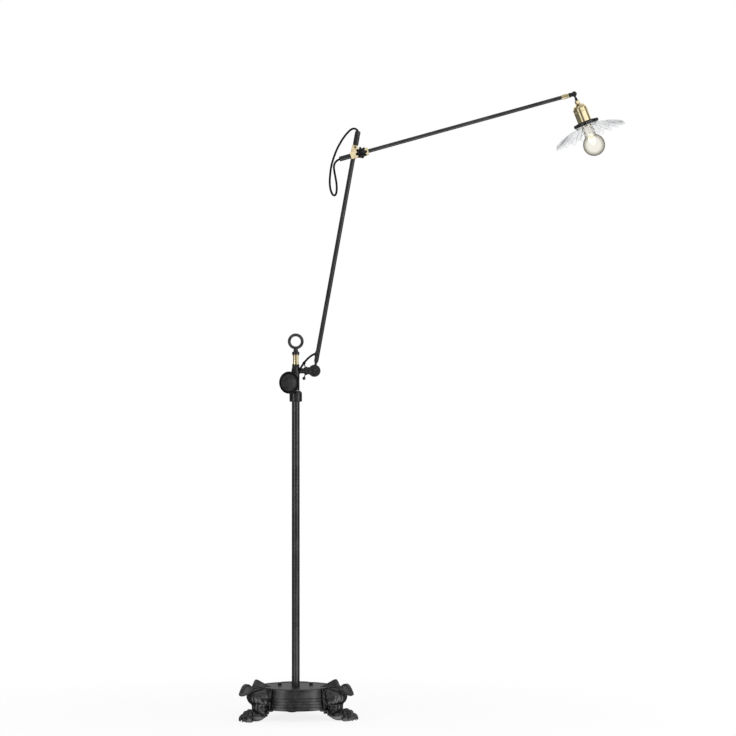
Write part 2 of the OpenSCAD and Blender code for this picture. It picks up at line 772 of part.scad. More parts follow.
module wing_lever() {
    arm_r = 2;
    color(iron) {
        difference() {
            on_neck(wing_x) cylinder(d = flange_d - 1, h = wing_t);
            on_neck(wing_x - 1) cylinder(r = spigot_r + run_gap, h = wing_t + 2);
        }
        for (side = [-1, 1]) {
            ball = [wing_x - 2.2, 0, neck_z + side * wing_reach];
            hull() {
                translate([wing_x + wing_t / 2, 0, neck_z + side * (flange_d / 2 - 3)])
                    sphere(r = 1.5, $fn = 16);
                translate(ball) sphere(r = arm_r - 0.3, $fn = 16);
            }
            translate(ball) sphere(d = wing_ball_d, $fn = 32);
        }
    }
}

// Elbow

module elbow_fork() {
    cheek_end = cheek_y + cheek_t;
    color(iron) difference() {
        union() {
            on_neck(flange_x) cylinder(d = flange_d, h = flange_t);
            on_neck(flange_x + flange_t - 0.5)
                cylinder(d1 = flange_d - 4, d2 = 2 * cheek_end + 2, h = root_end_x - flange_x - flange_t + 0.5);
            for (side = [-1, 1]) translate([elbow_x, side * cheek_y, neck_z]) rotate([-90 * side, 0, 0]) {
                cylinder(r = knuckle_r, h = cheek_t - 0.8);
                cylinder(r = knuckle_r - 1.2, h = cheek_t);
            }
            translate([root_end_x - 3, -cheek_end + 0.6, neck_z - 9.5])
                cube([12, 2 * cheek_end - 1.2, 19]);
        }
        // Slot for the arm's eye
        translate([elbow_x, -cheek_y, neck_z]) rotate([-90, 0, 0])
            cylinder(r = knuckle_r - 1.8, h = 2 * cheek_y);
        translate([root_end_x + 2.5, -cheek_y, neck_z - knuckle_r * 2])
            cube([4 * knuckle_r, 2 * cheek_y, 4 * knuckle_r]);
        on_neck(0) cylinder(r = spigot_r + run_gap, h = spigot_end_x);
        on_neck(spigot_end_x - free_gap) cylinder(r = retainer_r + 0.3, h = 12);
        translate([elbow_x, -30, neck_z]) rotate([-90, 0, 0])
            cylinder(d = elbow_bolt_d + 2 * seat_gap, h = 60);
        // Turned ring round the bolt's head
        for (side = [-1, 1]) translate([elbow_x, side * (cheek_end - 0.7), neck_z]) rotate([-90 * side, 0, 0])
            tube(knuckle_r - 4, knuckle_r - 5.6, 2);
    }
}

module elbow_bolt() {
    cheek_end = cheek_y + cheek_t;
    color(iron) translate([elbow_x, 0, neck_z]) rotate([90, 0, 0]) {
        translate([0, 0, -cheek_end - 5.5]) cylinder(d = elbow_bolt_d, h = 2 * cheek_end + 7);
        translate([0, 0, cheek_end]) rotate_extrude() polygon([
            [0, 0], [8.5, 0], [8.5, 1.4], [6.5, 1.4], [6.3, 2.8], [5, 4], [2.5, 4.6], [0, 4.8]
        ]);
    }
}

module elbow_nut() {
    cheek_end = cheek_y + cheek_t;
    color(iron) translate([elbow_x, cheek_end, neck_z]) rotate([-90, 0, 0]) {
        tube(8.5, elbow_bolt_d / 2 + seat_gap, 1.2);
        translate([0, 0, 1.2]) hex_nut(13, elbow_bolt_d / 2 + seat_gap, 4);
    }
}

// Lower arm

plug_l = 12;
// Angle between the arm and the cord where it enters the side hole
side_hole_turn = 124;
// The wire starts this far above the side hole, and ends this far below the tube's top
wire_in = 3.4;
wire_end = 15.7;

module elbow_eye() {
    color(iron) difference() {
        union() {
            on_lower() rotate([90, 0, 0]) cylinder(r = eye_r, h = eye_t, center = true);
            on_lower(8) cylinder(r = 3.4, h = lower_start - 7.5);
            on_lower(lower_start - 4) cylinder(r1 = 3.6, r2 = lower_r, h = 3.8);
            on_lower(lower_start - 0.2) cylinder(r = lower_bore_r - seat_gap, h = plug_l);
        }
        on_lower() rotate([90, 0, 0])
            cylinder(r = elbow_bolt_d / 2 + run_gap, h = eye_t + 2, center = true);
    }
}

// The cord's hole slopes up into the tube, as the cord arrives
module side_hole(r) {
    on_lower(side_hole_s) rotate([0, -side_hole_turn, 0]) cylinder(r = r, h = 30);
}

module lower_tube() {
    color(iron) difference() {
        on_lower(lower_start) tube(lower_r, lower_bore_r, lower_end - lower_start);
        side_hole(cord_r + 1.5);
    }
}

module side_grommet() {
    color(rubber) difference() {
        union() {
            intersection() {
                on_lower(side_hole_s - 30) tube(lower_r + 1.1, lower_bore_r + 0.05, 60);
                side_hole(cord_r + 1.4);
            }
            intersection() {
                on_lower(side_hole_s - 30) tube(lower_r + 1.3, lower_r + 0.05, 60);
                side_hole(cord_r + 2.6);
            }
        }
        side_hole(cord_r + 0.2);
    }
}

module lower_sleeve() {
    mouth = 2;
    color(iron) on_lower(lower_end - lower_sleeve_l) difference() {
        rotate_extrude() polygon([
            [0, 0], [lower_sleeve_od / 2 - 0.8, 0], [lower_sleeve_od / 2, 1],
            [lower_sleeve_od / 2, lower_sleeve_l], [lower_sleeve_od / 2 - 1, lower_sleeve_l + mouth],
            [0, lower_sleeve_l + mouth]
        ]);
        translate([0, 0, -1]) cylinder(r = lower_r + seat_gap, h = lower_sleeve_l + mouth + 2);
    }
}

module lower_wire() {
    color(cloth) on_lower(side_hole_s + wire_in)
        cylinder(r = cord_r, h = lower_end - wire_end - side_hole_s - wire_in);
}

module rear_block() {
    half = rear_block_t / 2;
    color(brass) difference() {
        on_lower(pivot_s) rotate([90, 0, 0]) linear_extrude(height = rear_block_t, center = true) {
            translate([-9, -rear_block_l / 2 + 1]) square([16, rear_block_l - 2]);
            translate([-8, -rear_block_l / 2]) square([14, rear_block_l]);
            translate([0, -ear_r]) square([pivot_side, ear_r * 2]);
            translate([pivot_side, 0]) circle(r = ear_r);
        }
        on_lower(pivot_s - rear_block_l) cylinder(r = lower_r + seat_gap, h = rear_block_l * 2);
        translate([pivot_x, 0, pivot_z]) rotate([90, 0, 0])
            cylinder(r = pivot_r + run_gap, h = rear_block_t * 2, center = true);
        for (side = [-1, 1]) on_lower(pivot_s + side * (rear_block_l / 2 - 5)) rotate([90, 0, 0])
            cylinder(r = 2.5 + seat_gap, h = half + 1, $fn = small);
    }
}

module block_screws() {
    for (side = [-1, 1]) color(iron) on_lower(pivot_s + side * (rear_block_l / 2 - 5))
        rotate([90, 0, 0]) translate([0, 0, lower_r + 0.1])
            cylinder(r = 2.5, h = rear_block_t / 2 - lower_r - 0.2, $fn = small);
}

// Cross clamp, front part, which the upper arm slides in

module front_block() {
    u_low = -front_back_l;
    color(brass) {
        difference() {
            union() {
                on_upper(u_low) translate([-front_block_h / 2, front_depth - front_block_t, 0])
                    cube([front_block_h, front_block_t, front_back_l + front_fore_l]);
                on_upper(0) rotate([90, 0, 0]) cylinder(r = 8.5, h = boss_end);
            }
            on_upper(u_low - 1) cylinder(r = liner_r + seat_gap, h = front_back_l + front_fore_l + 2);
            on_upper(0) rotate([90, 0, 0]) cylinder(d = knob_stud_d + 2 * run_gap, h = front_block_t);
        }
        translate([pivot_x, front_y - 1, pivot_z]) rotate([-90, 0, 0])
            cylinder(r = pivot_r, h = rear_block_t + 8);
    }
}

module slide_liner() {
    color(ceramic) difference() {
        on_upper(-front_back_l) tube(liner_r, upper_r + run_gap, front_back_l + front_fore_l);
        on_upper(0) rotate([90, 0, 0]) cylinder(d = knob_stud_d + 0.6, h = front_block_t);
    }
}

module pivot_nut() {
    color(brass) translate([pivot_x, rear_block_t / 2 + free_gap, pivot_z]) rotate([-90, 0, 0]) {
        tube(9, pivot_r + seat_gap, 1.4);
        translate([0, 0, 1.4]) hex_nut(15, pivot_r + seat_gap, 5);
    }
}

module star_knob() {
    base = boss_end + free_gap;
    point_r = 3.4;
    color(iron) on_upper(0) rotate([90, 0, 0]) {
        translate([0, 0, upper_r + 0.25]) cylinder(d = knob_stud_d, h = base - upper_r + 3);
        translate([0, 0, base]) cylinder(r = 7, h = 3);
        translate([0, 0, base + 2]) linear_extrude(height = knob_t - 2) {
            circle(r = knob_r - 4.2);
            for (i = [0:knob_points - 1]) rotate(i * 360 / knob_points)
                translate([knob_r - point_r, 0]) circle(r = point_r, $fn = small);
        }
        translate([0, 0, base + knob_t]) cylinder(r1 = knob_r - 5, r2 = knob_r - 8, h = 2);
    }
}

// Upper arm

module upper_tube() {
    color(iron) on_upper(-upper_tail) tube(upper_r, upper_bore_r, upper_tail + ferrule_u + tube_seat);
}

module tail_sleeve() {
    mouth = 1.5;
    color(iron) on_upper(-upper_tail - mouth) difference() {
        rotate_extrude() polygon([
            [0, 0], [tail_sleeve_od / 2 - 1, 0], [tail_sleeve_od / 2, 1],
            [tail_sleeve_od / 2, tail_sleeve_l - 1 + mouth], [tail_sleeve_od / 2 - 1, tail_sleeve_l + mouth],
            [0, tail_sleeve_l + mouth]
        ]);
        translate([0, 0, -1]) cylinder(r = upper_r + seat_gap, h = tail_sleeve_l + mouth + 2);
    }
}

module upper_wire() {
    loop_in = 10.8;
    start = upper_tail - loop_in;
    color(cloth) on_upper(-start) cylinder(r = cord_r, h = start + ferrule_u + tube_seat);
}

module arm_ferrule() {
    head_pocket = 5.6;
    color(brass) on_upper(ferrule_u) difference() {
        rotate_extrude() polygon([
            [0, 0], [upper_r + 0.6, 0], [ferrule_r, 3], [ferrule_r, ferrule_l - 4],
            [ferrule_r - 1, ferrule_l - 3], [ferrule_r - 1, ferrule_l], [0, ferrule_l]
        ]);
        translate([0, 0, -1]) cylinder(r = upper_r + seat_gap, h = tube_seat + 1);
        cylinder(r = 4.1, h = tube_seat + head_pocket);
        cylinder(r = 3 + run_gap, h = ferrule_l + 1);
    }
}

module head_fork() {
    cheek = eye2_t / 2 + 0.3;
    color(iron) difference() {
        union() {
            on_upper(fork_u) cylinder(r = 6, h = swivel_collar_l - 3);
            on_upper(fork_u) cylinder(r = 5, h = swivel_collar_l - 2);
            on_upper(ferrule_u + tube_seat + 2.4) cylinder(r = 3.8, h = 2.8);
            on_upper(ferrule_u + tube_seat + 4) cylinder(r = 3, h = ferrule_l - tube_seat);
            for (side = [-1, 1]) {
                on_upper(head_reach) translate([0, side * cheek, 0]) rotate([-90 * side, 0, 0])
                    cylinder(r = eye2_r, h = cheek2_t);
                on_upper(fork_u + 5) translate([-5, side > 0 ? cheek : -cheek - cheek2_t, 0])
                    cube([10, cheek2_t, 9.5]);
            }
            on_upper(fork_u + 4) translate([-5, -cheek - cheek2_t, 0]) cube([10, 2 * (cheek + cheek2_t), 2.8]);
        }
        on_upper(head_reach) rotate([90, 0, 0]) cylinder(r = pin_r + seat_gap, h = 40, center = true);
    }
}

module tilt_pin() {
    half = eye2_t / 2 + 0.3 + cheek2_t;
    color(iron) on_upper(head_reach) rotate([90, 0, 0]) {
        cylinder(r = pin_r, h = 2 * half, center = true);
        for (side = [-1, 1]) translate([0, 0, side * (half + 0.8)])
            cylinder(r = 4.5, h = 1.6, center = true);
    }
}

// Lamp head

module head_eye() {
    color(iron) difference() {
        union() {
            on_head() rotate([90, 0, 0]) cylinder(r = eye2_r, h = eye2_t, center = true);
            on_head(4) cylinder(r = 2.6, h = 5);
            on_head(8.5) cylinder(r1 = 2.6, r2 = 4.2, h = stem_end - 8.5);
            on_head(stem_end - 0.5) cylinder(r = 3.5, h = cap_z - stem_end + 9);
        }
        on_head() rotate([90, 0, 0]) cylinder(r = pin_r + run_gap, h = 40, center = true);
    }
}

module neck_nut() {
    color(brass) on_head(stem_end) hex_nut(12, 3.5 + seat_gap, nut_end - stem_end);
}

module socket_cap() {
    r = shell_r;
    w = shell_wall;
    color(brass) on_head(cap_z) rotate_extrude($fn = 64) polygon([
        [3.5 + seat_gap, 0], [7, 0], [8.5, 1.5], [r * 0.62, 3], [r * 0.86, 7], [r, 13], [r, cap_l],
        [r - w, cap_l], [r - w, 13.2], [r * 0.86 - w, 7.6], [r * 0.6, 4.2], [3.5 + seat_gap, 2.6]
    ]);
}

module socket_shell() {
    r = shell_r;
    w = shell_wall;
    color(brass) on_head(shell_z) rotate_extrude($fn = 64) polygon([
        [r - w, 0.05], [r, 0.05], [r, 2], [r + 0.6, 2.6], [r + 0.6, 4], [r, 4.6], [r, shell_l],
        [r - w, shell_l], [r - w, 4.4], [r - w + 0.5, 3.9], [r - w + 0.5, 2.8], [r - w, 2.2]
    ]);
}

module socket_insulator() {
    r = shell_r - shell_wall - 0.2;
    color(ceramic) on_head(core_z) difference() {
        cylinder(r = r, h = shell_end - core_z - 2);
        translate([0, 0, core_t]) cylinder(r = screw_r + 0.8 + seat_gap, h = shell_l * 2);
        for (side = [-1, 1]) translate([side * 9, 0, -1]) cylinder(r = 1.5, h = core_t + 2, $fn = small);
    }
}

module socket_contacts() {
    color(brass) {
        on_head(core_z + core_t) tube(screw_r + 0.8, screw_r, base_end - base_z - 1);
        on_head(core_z + core_t) cylinder(r = 4, h = 1);
        on_head(core_z + core_t + 0.5) cylinder(r = 2.5, h = 1.5);
    }
}

module shade_holder() {
    r = holder_r;
    w = holder_wall;
    color(iron) difference() {
        on_head(holder_z) rotate_extrude($fn = 72) polygon([
            [shell_r + seat_gap, 0], [shell_r + 4, 0], [shell_r + 6, 1.2], [r - 2, 1.2], [r, 3.2],
            [r, holder_h], [r - w, holder_h], [r - w, 3.6], [r - 3, 2.6], [shell_r + 5, 2.6],
            [shell_r + seat_gap, 1.4]
        ]);
        thumb_places() translate([0, 0, -2]) cylinder(r = 1.9 + seat_gap, h = 6, $fn = small);
    }
}

// Places a child at each thumbscrew: local Z points outwards from the holder's wall
module thumb_places() {
    for (i = [0:thumb_count - 1]) on_head(holder_z + holder_h - 3.4)
        rotate(-90 + i * 360 / thumb_count) rotate([0, 90, 0])
            translate([0, 0, holder_r - holder_wall]) children();
}

module shade_screws() {
    tip = holder_r - holder_wall - fitter_r - 0.2;
    color(iron) thumb_places() {
        translate([0, 0, -tip]) cylinder(r = 1.9, h = tip + 4, $fn = small);
        translate([0, 0, holder_wall + 0.2]) cylinder(r = 4, h = 1.4, $fn = small);
        translate([0, 0, holder_wall + 1.4]) linear_extrude(height = 5) {
            circle(r = 3.6, $fn = small);
            for (k = [0:7]) rotate(k * 45) translate([3.4, 0]) circle(r = 0.9, $fn = 16);
        }
    }
}

// The fluted shade: a lip and neck, then a flare whose flutes deepen into a ruffled rim.
// Each ring is [radius, depth, share of the flute's full depth].
shade_rings = [
    [fitter_r, 0, 0], [fitter_r, 9, 0], [fitter_r + 3, 11.5, 0.12],
    [fitter_r + (shade_r - fitter_r) * 0.28, shade_depth * 0.42, 0.35],
    [fitter_r + (shade_r - fitter_r) * 0.52, shade_depth * 0.56, 0.55],
    [fitter_r + (shade_r - fitter_r) * 0.76, shade_depth * 0.74, 0.8],
    [shade_r, shade_depth, 1]
];
flute_sides = 4;

function shade_point(ring, wall, k) = let (
        a = 360 * k / (shade_flutes * flute_sides),
        wave = cos(360 * k / flute_sides + 45) * sqrt(2) * flute_depth * ring[2],
        r = ring[0] - wall * (ring[2] < 0.1 ? 1 : 0.45) + wave * 0.55
    ) [r * cos(a), r * sin(a), ring[1] + wall * (ring[2] < 0.1 ? 0 : 0.9) + wave];

module glass_shade() {
    n = shade_flutes * flute_sides;
    rings = len(shade_rings);
    outer = [for (i = [0:rings - 1], k = [0:n - 1]) shade_point(shade_rings[i], 0, k)];
    inner = [for (i = [rings - 1:-1:0], k = [0:n - 1]) shade_point(shade_rings[i], shade_t, k)];
    faces = [for (i = [0:2 * rings - 1], k = [0:n - 1])
        let (a = i * n, b = ((i + 1) % (2 * rings)) * n, k2 = (k + 1) % n)
        [a + k, b + k, b + k2, a + k2]];
    color(clear) on_head(shade_z) polyhedron(points = concat(outer, inner), faces = faces, convexity = 4);
}

module bulb_glass() {
    neck = 12;
    w = bulb_wall;
    // Outline of the bulb at a given wall inset, from its neck round the globe to its pole
    function outline(inset) = concat(
        [[neck - inset, base_end - 4], [neck - inset, base_end + 2], [neck + 1 - inset, base_end + 14]],
        [for (a = [-58:8:86]) [(globe_r - inset) * cos(a), globe_z + (globe_r - inset) * sin(a)]],
        [[0, globe_z + globe_r - inset]]
    );
    color(clear) on_head() rotate_extrude($fn = 48)
        polygon(concat(outline(0), [for (i = [len(outline(0)) - 1:-1:0]) outline(w)[i]]));
}

module bulb_base() {
    color(brass) on_head(base_z) difference() {
        rotate_extrude() polygon([
            [0, -0.4], [4, -0.4], [5, 0.8], [9, 3], [base_r - 1.4, 5], [base_r, 6],
            [base_r, base_end - base_z], [0, base_end - base_z]
        ]);
        translate([0, 0, base_end - base_z - 4.2]) cylinder(r = 12.2, h = 10);
    }
}

// Glass stem, two lead wires and a zigzag filament
module filament() {
    top = base_end - 4.2;
    color("orange") {
        on_head(top) cylinder(r = 5, h = 8, $fn = small);
        on_head(top + 7) cylinder(r1 = 4.5, r2 = 2.4, h = 34, $fn = small);
        for (i = [0:5]) {
            a = i * 60;
            on_head(top + 38) rotate(a) rotate([0, 24, 0]) cylinder(r = 0.55, h = 34, $fn = 13);
        }
        on_head(top + 68) rotate_extrude() translate([13.6, 0]) circle(r = 0.7, $fn = 13);
    }
}

module elbow_cord_lower() {
    color(cloth) cord(jumper, 0, jumper_split);
}

module elbow_cord_upper() {
    color(cloth) cord(jumper, jumper_split, len(jumper) - 1);
}

module loop_cord_fall() {
    color(cloth) cord(loop, 0, loop_split);
}

module loop_cord_rise() {
    color(cloth) cord(loop, loop_split, len(loop) - 1);
}

base_drum();
cover_plate();
base_bolts();
claw_feet();
pole();
pole_locknut();
cord_bushing();
pole_collar();
collar_screws();
spindle();
spindle_nut();
thrust_washer();
pole_wire();
swivel_body();
bearing_bush();
bell_hub();
top_nipple();
lower_nut();
brass_spacer();
upper_nut();
eye_ring();
roll_screw();
lock_wheel();
wing_lever();
elbow_fork();
elbow_bolt();
elbow_nut();
elbow_eye();
lower_tube();
side_grommet();
lower_sleeve();
rear_block();
block_screws();
lower_wire();
front_block();
slide_liner();
pivot_nut();
star_knob();
upper_tube();
tail_sleeve();
arm_ferrule();
upper_wire();
head_fork();
tilt_pin();
head_eye();
neck_nut();
socket_cap();
socket_shell();
socket_insulator();
socket_contacts();
shade_holder();
shade_screws();
glass_shade();
bulb_glass();
bulb_base();
filament();
elbow_cord_lower();
elbow_cord_upper();
loop_cord_fall();
loop_cord_rise();
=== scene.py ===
# Swing arm floor lamp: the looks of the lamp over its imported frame, and the photograph's stage.
# Every length in the settings is a real size in metres, and every piece is made in the frame's own
# coordinates.
import math

import bmesh
import bpy
from bpy.props import FloatProperty, FloatVectorProperty, IntProperty, PointerProperty
from mathutils import Matrix, Vector


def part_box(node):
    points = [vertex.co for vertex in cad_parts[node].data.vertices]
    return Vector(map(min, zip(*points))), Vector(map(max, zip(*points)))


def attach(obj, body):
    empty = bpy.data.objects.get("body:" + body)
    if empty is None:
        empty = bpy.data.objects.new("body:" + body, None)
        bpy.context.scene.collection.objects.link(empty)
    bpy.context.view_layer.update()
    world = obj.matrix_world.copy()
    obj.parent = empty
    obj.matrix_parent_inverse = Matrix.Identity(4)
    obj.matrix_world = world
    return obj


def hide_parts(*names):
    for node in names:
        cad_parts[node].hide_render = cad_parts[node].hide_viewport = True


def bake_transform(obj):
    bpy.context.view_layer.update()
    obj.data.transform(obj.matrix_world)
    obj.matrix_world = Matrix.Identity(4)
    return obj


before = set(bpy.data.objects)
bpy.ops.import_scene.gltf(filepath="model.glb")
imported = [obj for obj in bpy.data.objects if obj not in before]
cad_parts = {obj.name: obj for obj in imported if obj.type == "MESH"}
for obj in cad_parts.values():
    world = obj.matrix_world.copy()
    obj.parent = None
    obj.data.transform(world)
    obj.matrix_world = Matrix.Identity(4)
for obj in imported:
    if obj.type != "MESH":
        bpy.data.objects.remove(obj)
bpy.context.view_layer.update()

bl_info = {
    "name": "Swing Arm Floor Lamp",
    "version": (1, 0, 0),
    "blender": (4, 5, 0),
    "location": "View3D > Sidebar > Floor Lamp",
    "description": "Dresses a claw-footed swing arm floor lamp in iron, brass and glass",
    "category": "Add Mesh",
}

MM = 0.001

# Places that come from the frame, in metres: the clamp's pivot and the head's pivot
CLAMP_PIVOT = Vector((0.17737, 0.0, 1.522763))
HEAD_PIVOT = Vector((0.749766, -0.019, 1.681503))
# The upper arm's rise above level and the head axis's lean from straight down
ARM_RISE = math.radians(15.5)
HEAD_LEAN = math.radians(21.5)
# The lock wheel's middle from the pole's axis, and its turn from straight in front
WHEEL_REACH = 0.0365
WHEEL_TURN = math.radians(27.0)
# Where the painted shade towards the wheel's rim starts and where it is full, from the wheel's
# middle
WHEEL_RIM_SHADE = (0.0215, 0.0250)


# Settings

class LampStageSettings(bpy.types.PropertyGroup):
    camera_x: FloatProperty(name="Camera X", description="Camera's place along the lamp's front",
                            default=0.195, unit="LENGTH")
    camera_distance: FloatProperty(name="Camera Distance",
                                   description="Distance of the camera before the pole",
                                   default=8.0, unit="LENGTH")
    camera_height: FloatProperty(name="Camera Height",
                                 description="Height of the level camera above the floor",
                                 default=0.944, unit="LENGTH")
    lens: FloatProperty(name="Lens", description="Focal length on a 36 mm sensor", default=145.0,
                        unit="CAMERA")
    floor_radius: FloatProperty(name="Floor Radius", description="Radius of the round pale floor",
                                default=30.0, unit="LENGTH")
    shadow_depth: FloatProperty(name="Shadow Depth",
                                description="Share of the floor's white that a shadow can take",
                                default=0.16, min=0.0, max=1.0, subtype="FACTOR")
    lamp_level: FloatProperty(name="Lamp Level",
                              description="Factor on the power of every studio lamp", default=1.0,
                              min=0.0)
    ambient: FloatProperty(name="Ambient Level",
                           description="Strength of the soft light from all round", default=0.26,
                           min=0.0)


class LampCordSettings(bpy.types.PropertyGroup):
    diameter: FloatProperty(name="Diameter", description="Diameter of the cloth covered cord",
                            default=0.0056, unit="LENGTH")
    sides: IntProperty(name="Sides", description="Sides round the cord", default=24, min=8)
    steps: IntProperty(name="Steps", description="Rings between two points of a route", default=6,
                       min=1)
    strands: IntProperty(name="Strands", description="Strands of each hand in the braid",
                         default=12, min=4)
    colour: FloatVectorProperty(name="Cloth", description="Colour of the braid's threads",
                                subtype="COLOR", default=(0.0065, 0.006, 0.006))


class LampFootSettings(bpy.types.PropertyGroup):
    turn: FloatProperty(name="Turn", description="Turn of the feet and their drum about the pole",
                        default=math.radians(3.5), subtype="ANGLE")
    ankle_x: FloatProperty(name="Ankle Distance",
                           description="Distance of the ankle from the pole's axis", default=0.118,
                           unit="LENGTH")
    paw_side: FloatProperty(name="Paw Offset",
                            description="Sideways offset of the ankle and the paw", default=0.005,
                            unit="LENGTH")
    leaf_side: FloatProperty(name="Leaf Offset", description="Sideways offset of the two leaves",
                             default=-0.003, unit="LENGTH")
    drum_r: FloatProperty(name="Drum Radius", description="Radius of the drum that the feet hold",
                          default=0.103, unit="LENGTH")
    drum_top: FloatProperty(name="Drum Top", description="Height of the drum's rim", default=0.087,
                            unit="LENGTH")
    toes: IntProperty(name="Toes", description="Toes on each paw", default=4, min=3, max=5)
    toe_spread: FloatProperty(name="Toe Spread", description="Angle between two toes",
                              default=math.radians(16.5), subtype="ANGLE")
    flutes: IntProperty(name="Flutes", description="Flutes round the ankle", default=8, min=6)
    flute_depth: FloatProperty(name="Flute Depth",
                               description="Depth of the creases between the ankle's flutes",
                               default=0.0026, unit="LENGTH")
    vein_depth: FloatProperty(name="Vein Depth", description="Height of the inner leaf's veins",
                              default=0.0006, unit="LENGTH")
    skin: FloatProperty(name="Skin",
                        description="Size of the cells that the cast shape is drawn from",
                        default=0.00105, unit="LENGTH")


class LampShadeSettings(bpy.types.PropertyGroup):
    flutes: IntProperty(name="Flutes", description="Flutes round the shade", default=22, min=8)
    flute_depth: FloatProperty(name="Flute Depth", description="Depth of a flute at the rim",
                               default=0.0052, unit="LENGTH")
    neck_r: FloatProperty(name="Neck Radius", description="Radius of the shade's neck",
                          default=0.0285, unit="LENGTH")
    rim_r: FloatProperty(name="Rim Radius", description="Radius of the ruffled rim", default=0.098,
                         unit="LENGTH")
    neck_h: FloatProperty(name="Neck Height", description="Height of the neck in the holder",
                          default=0.009, unit="LENGTH")
    depth: FloatProperty(name="Depth", description="Depth from the neck's edge to the rim",
                         default=0.037, unit="LENGTH")
    thickness: FloatProperty(name="Glass Thickness", description="Thickness of the glass",
                             default=0.0026, unit="LENGTH")
    start: FloatProperty(name="Start",
                         description="Distance of the neck's edge from the head's pivot",
                         default=0.0823, unit="LENGTH")
    rings: IntProperty(name="Rings", description="Rings of points from the neck to the rim",
                       default=44, min=12)
    tint: FloatVectorProperty(name="Glass", description="Colour of the clear glass",
                              subtype="COLOR", default=(0.972, 0.976, 0.978))
    # Painted shade: the grey along each flute's sides and at the lip stands in for the glass's
    # reflections.
    painted_flute_shade: FloatVectorProperty(name="Streak", description="Colour of the grey along each flute",
                                subtype="COLOR", default=(0.79, 0.795, 0.80))
    bend: FloatProperty(name="Bend", description="How much the glass bends what is seen through it",
                        default=1.02, min=1.0)


class LampBulbSettings(bpy.types.PropertyGroup):
    globe_r: FloatProperty(name="Globe Radius", description="Radius of the globe", default=0.030,
                           unit="LENGTH")
    globe_z: FloatProperty(name="Globe Place",
                           description="Distance of the globe's centre from the head's pivot",
                           default=0.147, unit="LENGTH")
    neck_r: FloatProperty(name="Neck Radius", description="Radius of the bulb's neck",
                          default=0.012, unit="LENGTH")
    base_end: FloatProperty(name="Base End",
                            description="Distance of the screw base's end from the head's pivot",
                            default=0.080, unit="LENGTH")
    wall: FloatProperty(name="Wall", description="Thickness of the bulb's glass", default=0.0008,
                        unit="LENGTH")
    strands: IntProperty(name="Strands", description="Strands of the filament cage", default=10,
                         min=2)
    # Painted shade: the globe's glass darkens to this colour towards its outline.
    edge: FloatVectorProperty(name="Edge", description="Colour of the globe's glass seen edge on",
                              subtype="COLOR", default=(0.25, 0.235, 0.20))
    glow: FloatProperty(name="Glow", description="Strength of the filament's light", default=1.5,
                        min=0.0)
    glow_colour: FloatVectorProperty(name="Glow Colour",
                                     description="Colour of the filament's light", subtype="COLOR",
                                     default=(1.0, 0.90, 0.62))


class LampFinishSettings(bpy.types.PropertyGroup):
    cast: FloatVectorProperty(name="Cast Iron", description="Colour of the blackened casting",
                              subtype="COLOR", default=(0.090, 0.090, 0.092))
    iron: FloatVectorProperty(name="Black Iron", description="Colour of the satin black pipes",
                              subtype="COLOR", default=(0.066, 0.066, 0.068))
    rim: FloatVectorProperty(name="Outline",
                             description="Colour of the black metals' shine seen edge on",
                             subtype="COLOR", default=(0.35, 0.35, 0.35))
    bare: FloatVectorProperty(name="Bare Metal", description="Colour where an edge is rubbed",
                              subtype="COLOR", default=(0.26, 0.255, 0.245))
    brass: FloatVectorProperty(name="Brass", description="Colour of the polished brass",
                               subtype="COLOR", default=(0.89, 0.765, 0.48))
    tarnish: FloatVectorProperty(name="Tarnish", description="Colour of the aged brass",
                                 subtype="COLOR", default=(0.36, 0.24, 0.10))
    edge: FloatProperty(name="Edge Radius",
                        description="Radius that rounded edges catch the light with",
                        default=0.0005, unit="LENGTH")


class LampKnobSettings(bpy.types.PropertyGroup):
    points: IntProperty(name="Points", description="Points of the star knob", default=8, min=5)
    radius: FloatProperty(name="Radius", description="Radius over the star's points", default=0.016,
                          unit="LENGTH")
    waist: FloatProperty(name="Waist", description="Depth of the hollows between the points",
                         default=0.0050, unit="LENGTH")
    thickness: FloatProperty(name="Thickness", description="Thickness of the star", default=0.008,
                             unit="LENGTH")
    ribs: IntProperty(name="Ribs", description="Ribs round a thumbscrew's head", default=18, min=8)


# Mesh helpers

def piece_from(bm, name, smooth=True):
    """Makes an object of a bmesh, with its faces pointing outwards."""
    bmesh.ops.recalc_face_normals(bm, faces=bm.faces)
    mesh = bpy.data.meshes.new(name)
    bm.to_mesh(mesh)
    bm.free()
    for polygon in mesh.polygons:
        polygon.use_smooth = smooth
    piece = bpy.data.objects.new(name, mesh)
    bpy.context.scene.collection.objects.link(piece)
    return piece


def baked(piece):
    """Turns a piece's modifiers into plain mesh."""
    bpy.context.view_layer.update()
    graph = bpy.context.evaluated_depsgraph_get()
    mesh = bpy.data.meshes.new_from_object(piece.evaluated_get(graph))
    piece.modifiers.clear()
    piece.data = mesh
    mesh.name = piece.name
    return piece


def moved(piece, matrix):
    """Puts a piece's place into its mesh, so that its object stays at the origin."""
    piece.data.transform(matrix)
    piece.data.update()
    return piece


def sharp_over(piece, angle):
    """Shades a piece smooth, with its edges over an angle kept sharp."""
    mesh = piece.data
    mesh.polygons.foreach_set("use_smooth", [True] * len(mesh.polygons))
    mesh.set_sharp_from_angle(angle=angle)
    return piece


def painted(piece, material):
    piece.data.materials.clear()
    piece.data.materials.append(material)
    return piece


def housed(piece, body, slot, *nodes):
    """Makes a piece ride on its body and stand for its CAD nodes, which it hides. Its slot is not
    used.
    """
    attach(piece, body)
    if nodes:
        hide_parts(*nodes)
    return piece


def head_frame():
    """The lamp head's own frame: Z runs down its axis from the pivot."""
    down = Vector((math.sin(HEAD_LEAN), 0.0, -math.cos(HEAD_LEAN)))
    side = Vector((math.cos(HEAD_LEAN), 0.0, math.sin(HEAD_LEAN)))
    across = down.cross(side)
    turn = Matrix((side, across, down)).transposed().to_4x4()
    return Matrix.Translation(HEAD_PIVOT) @ turn


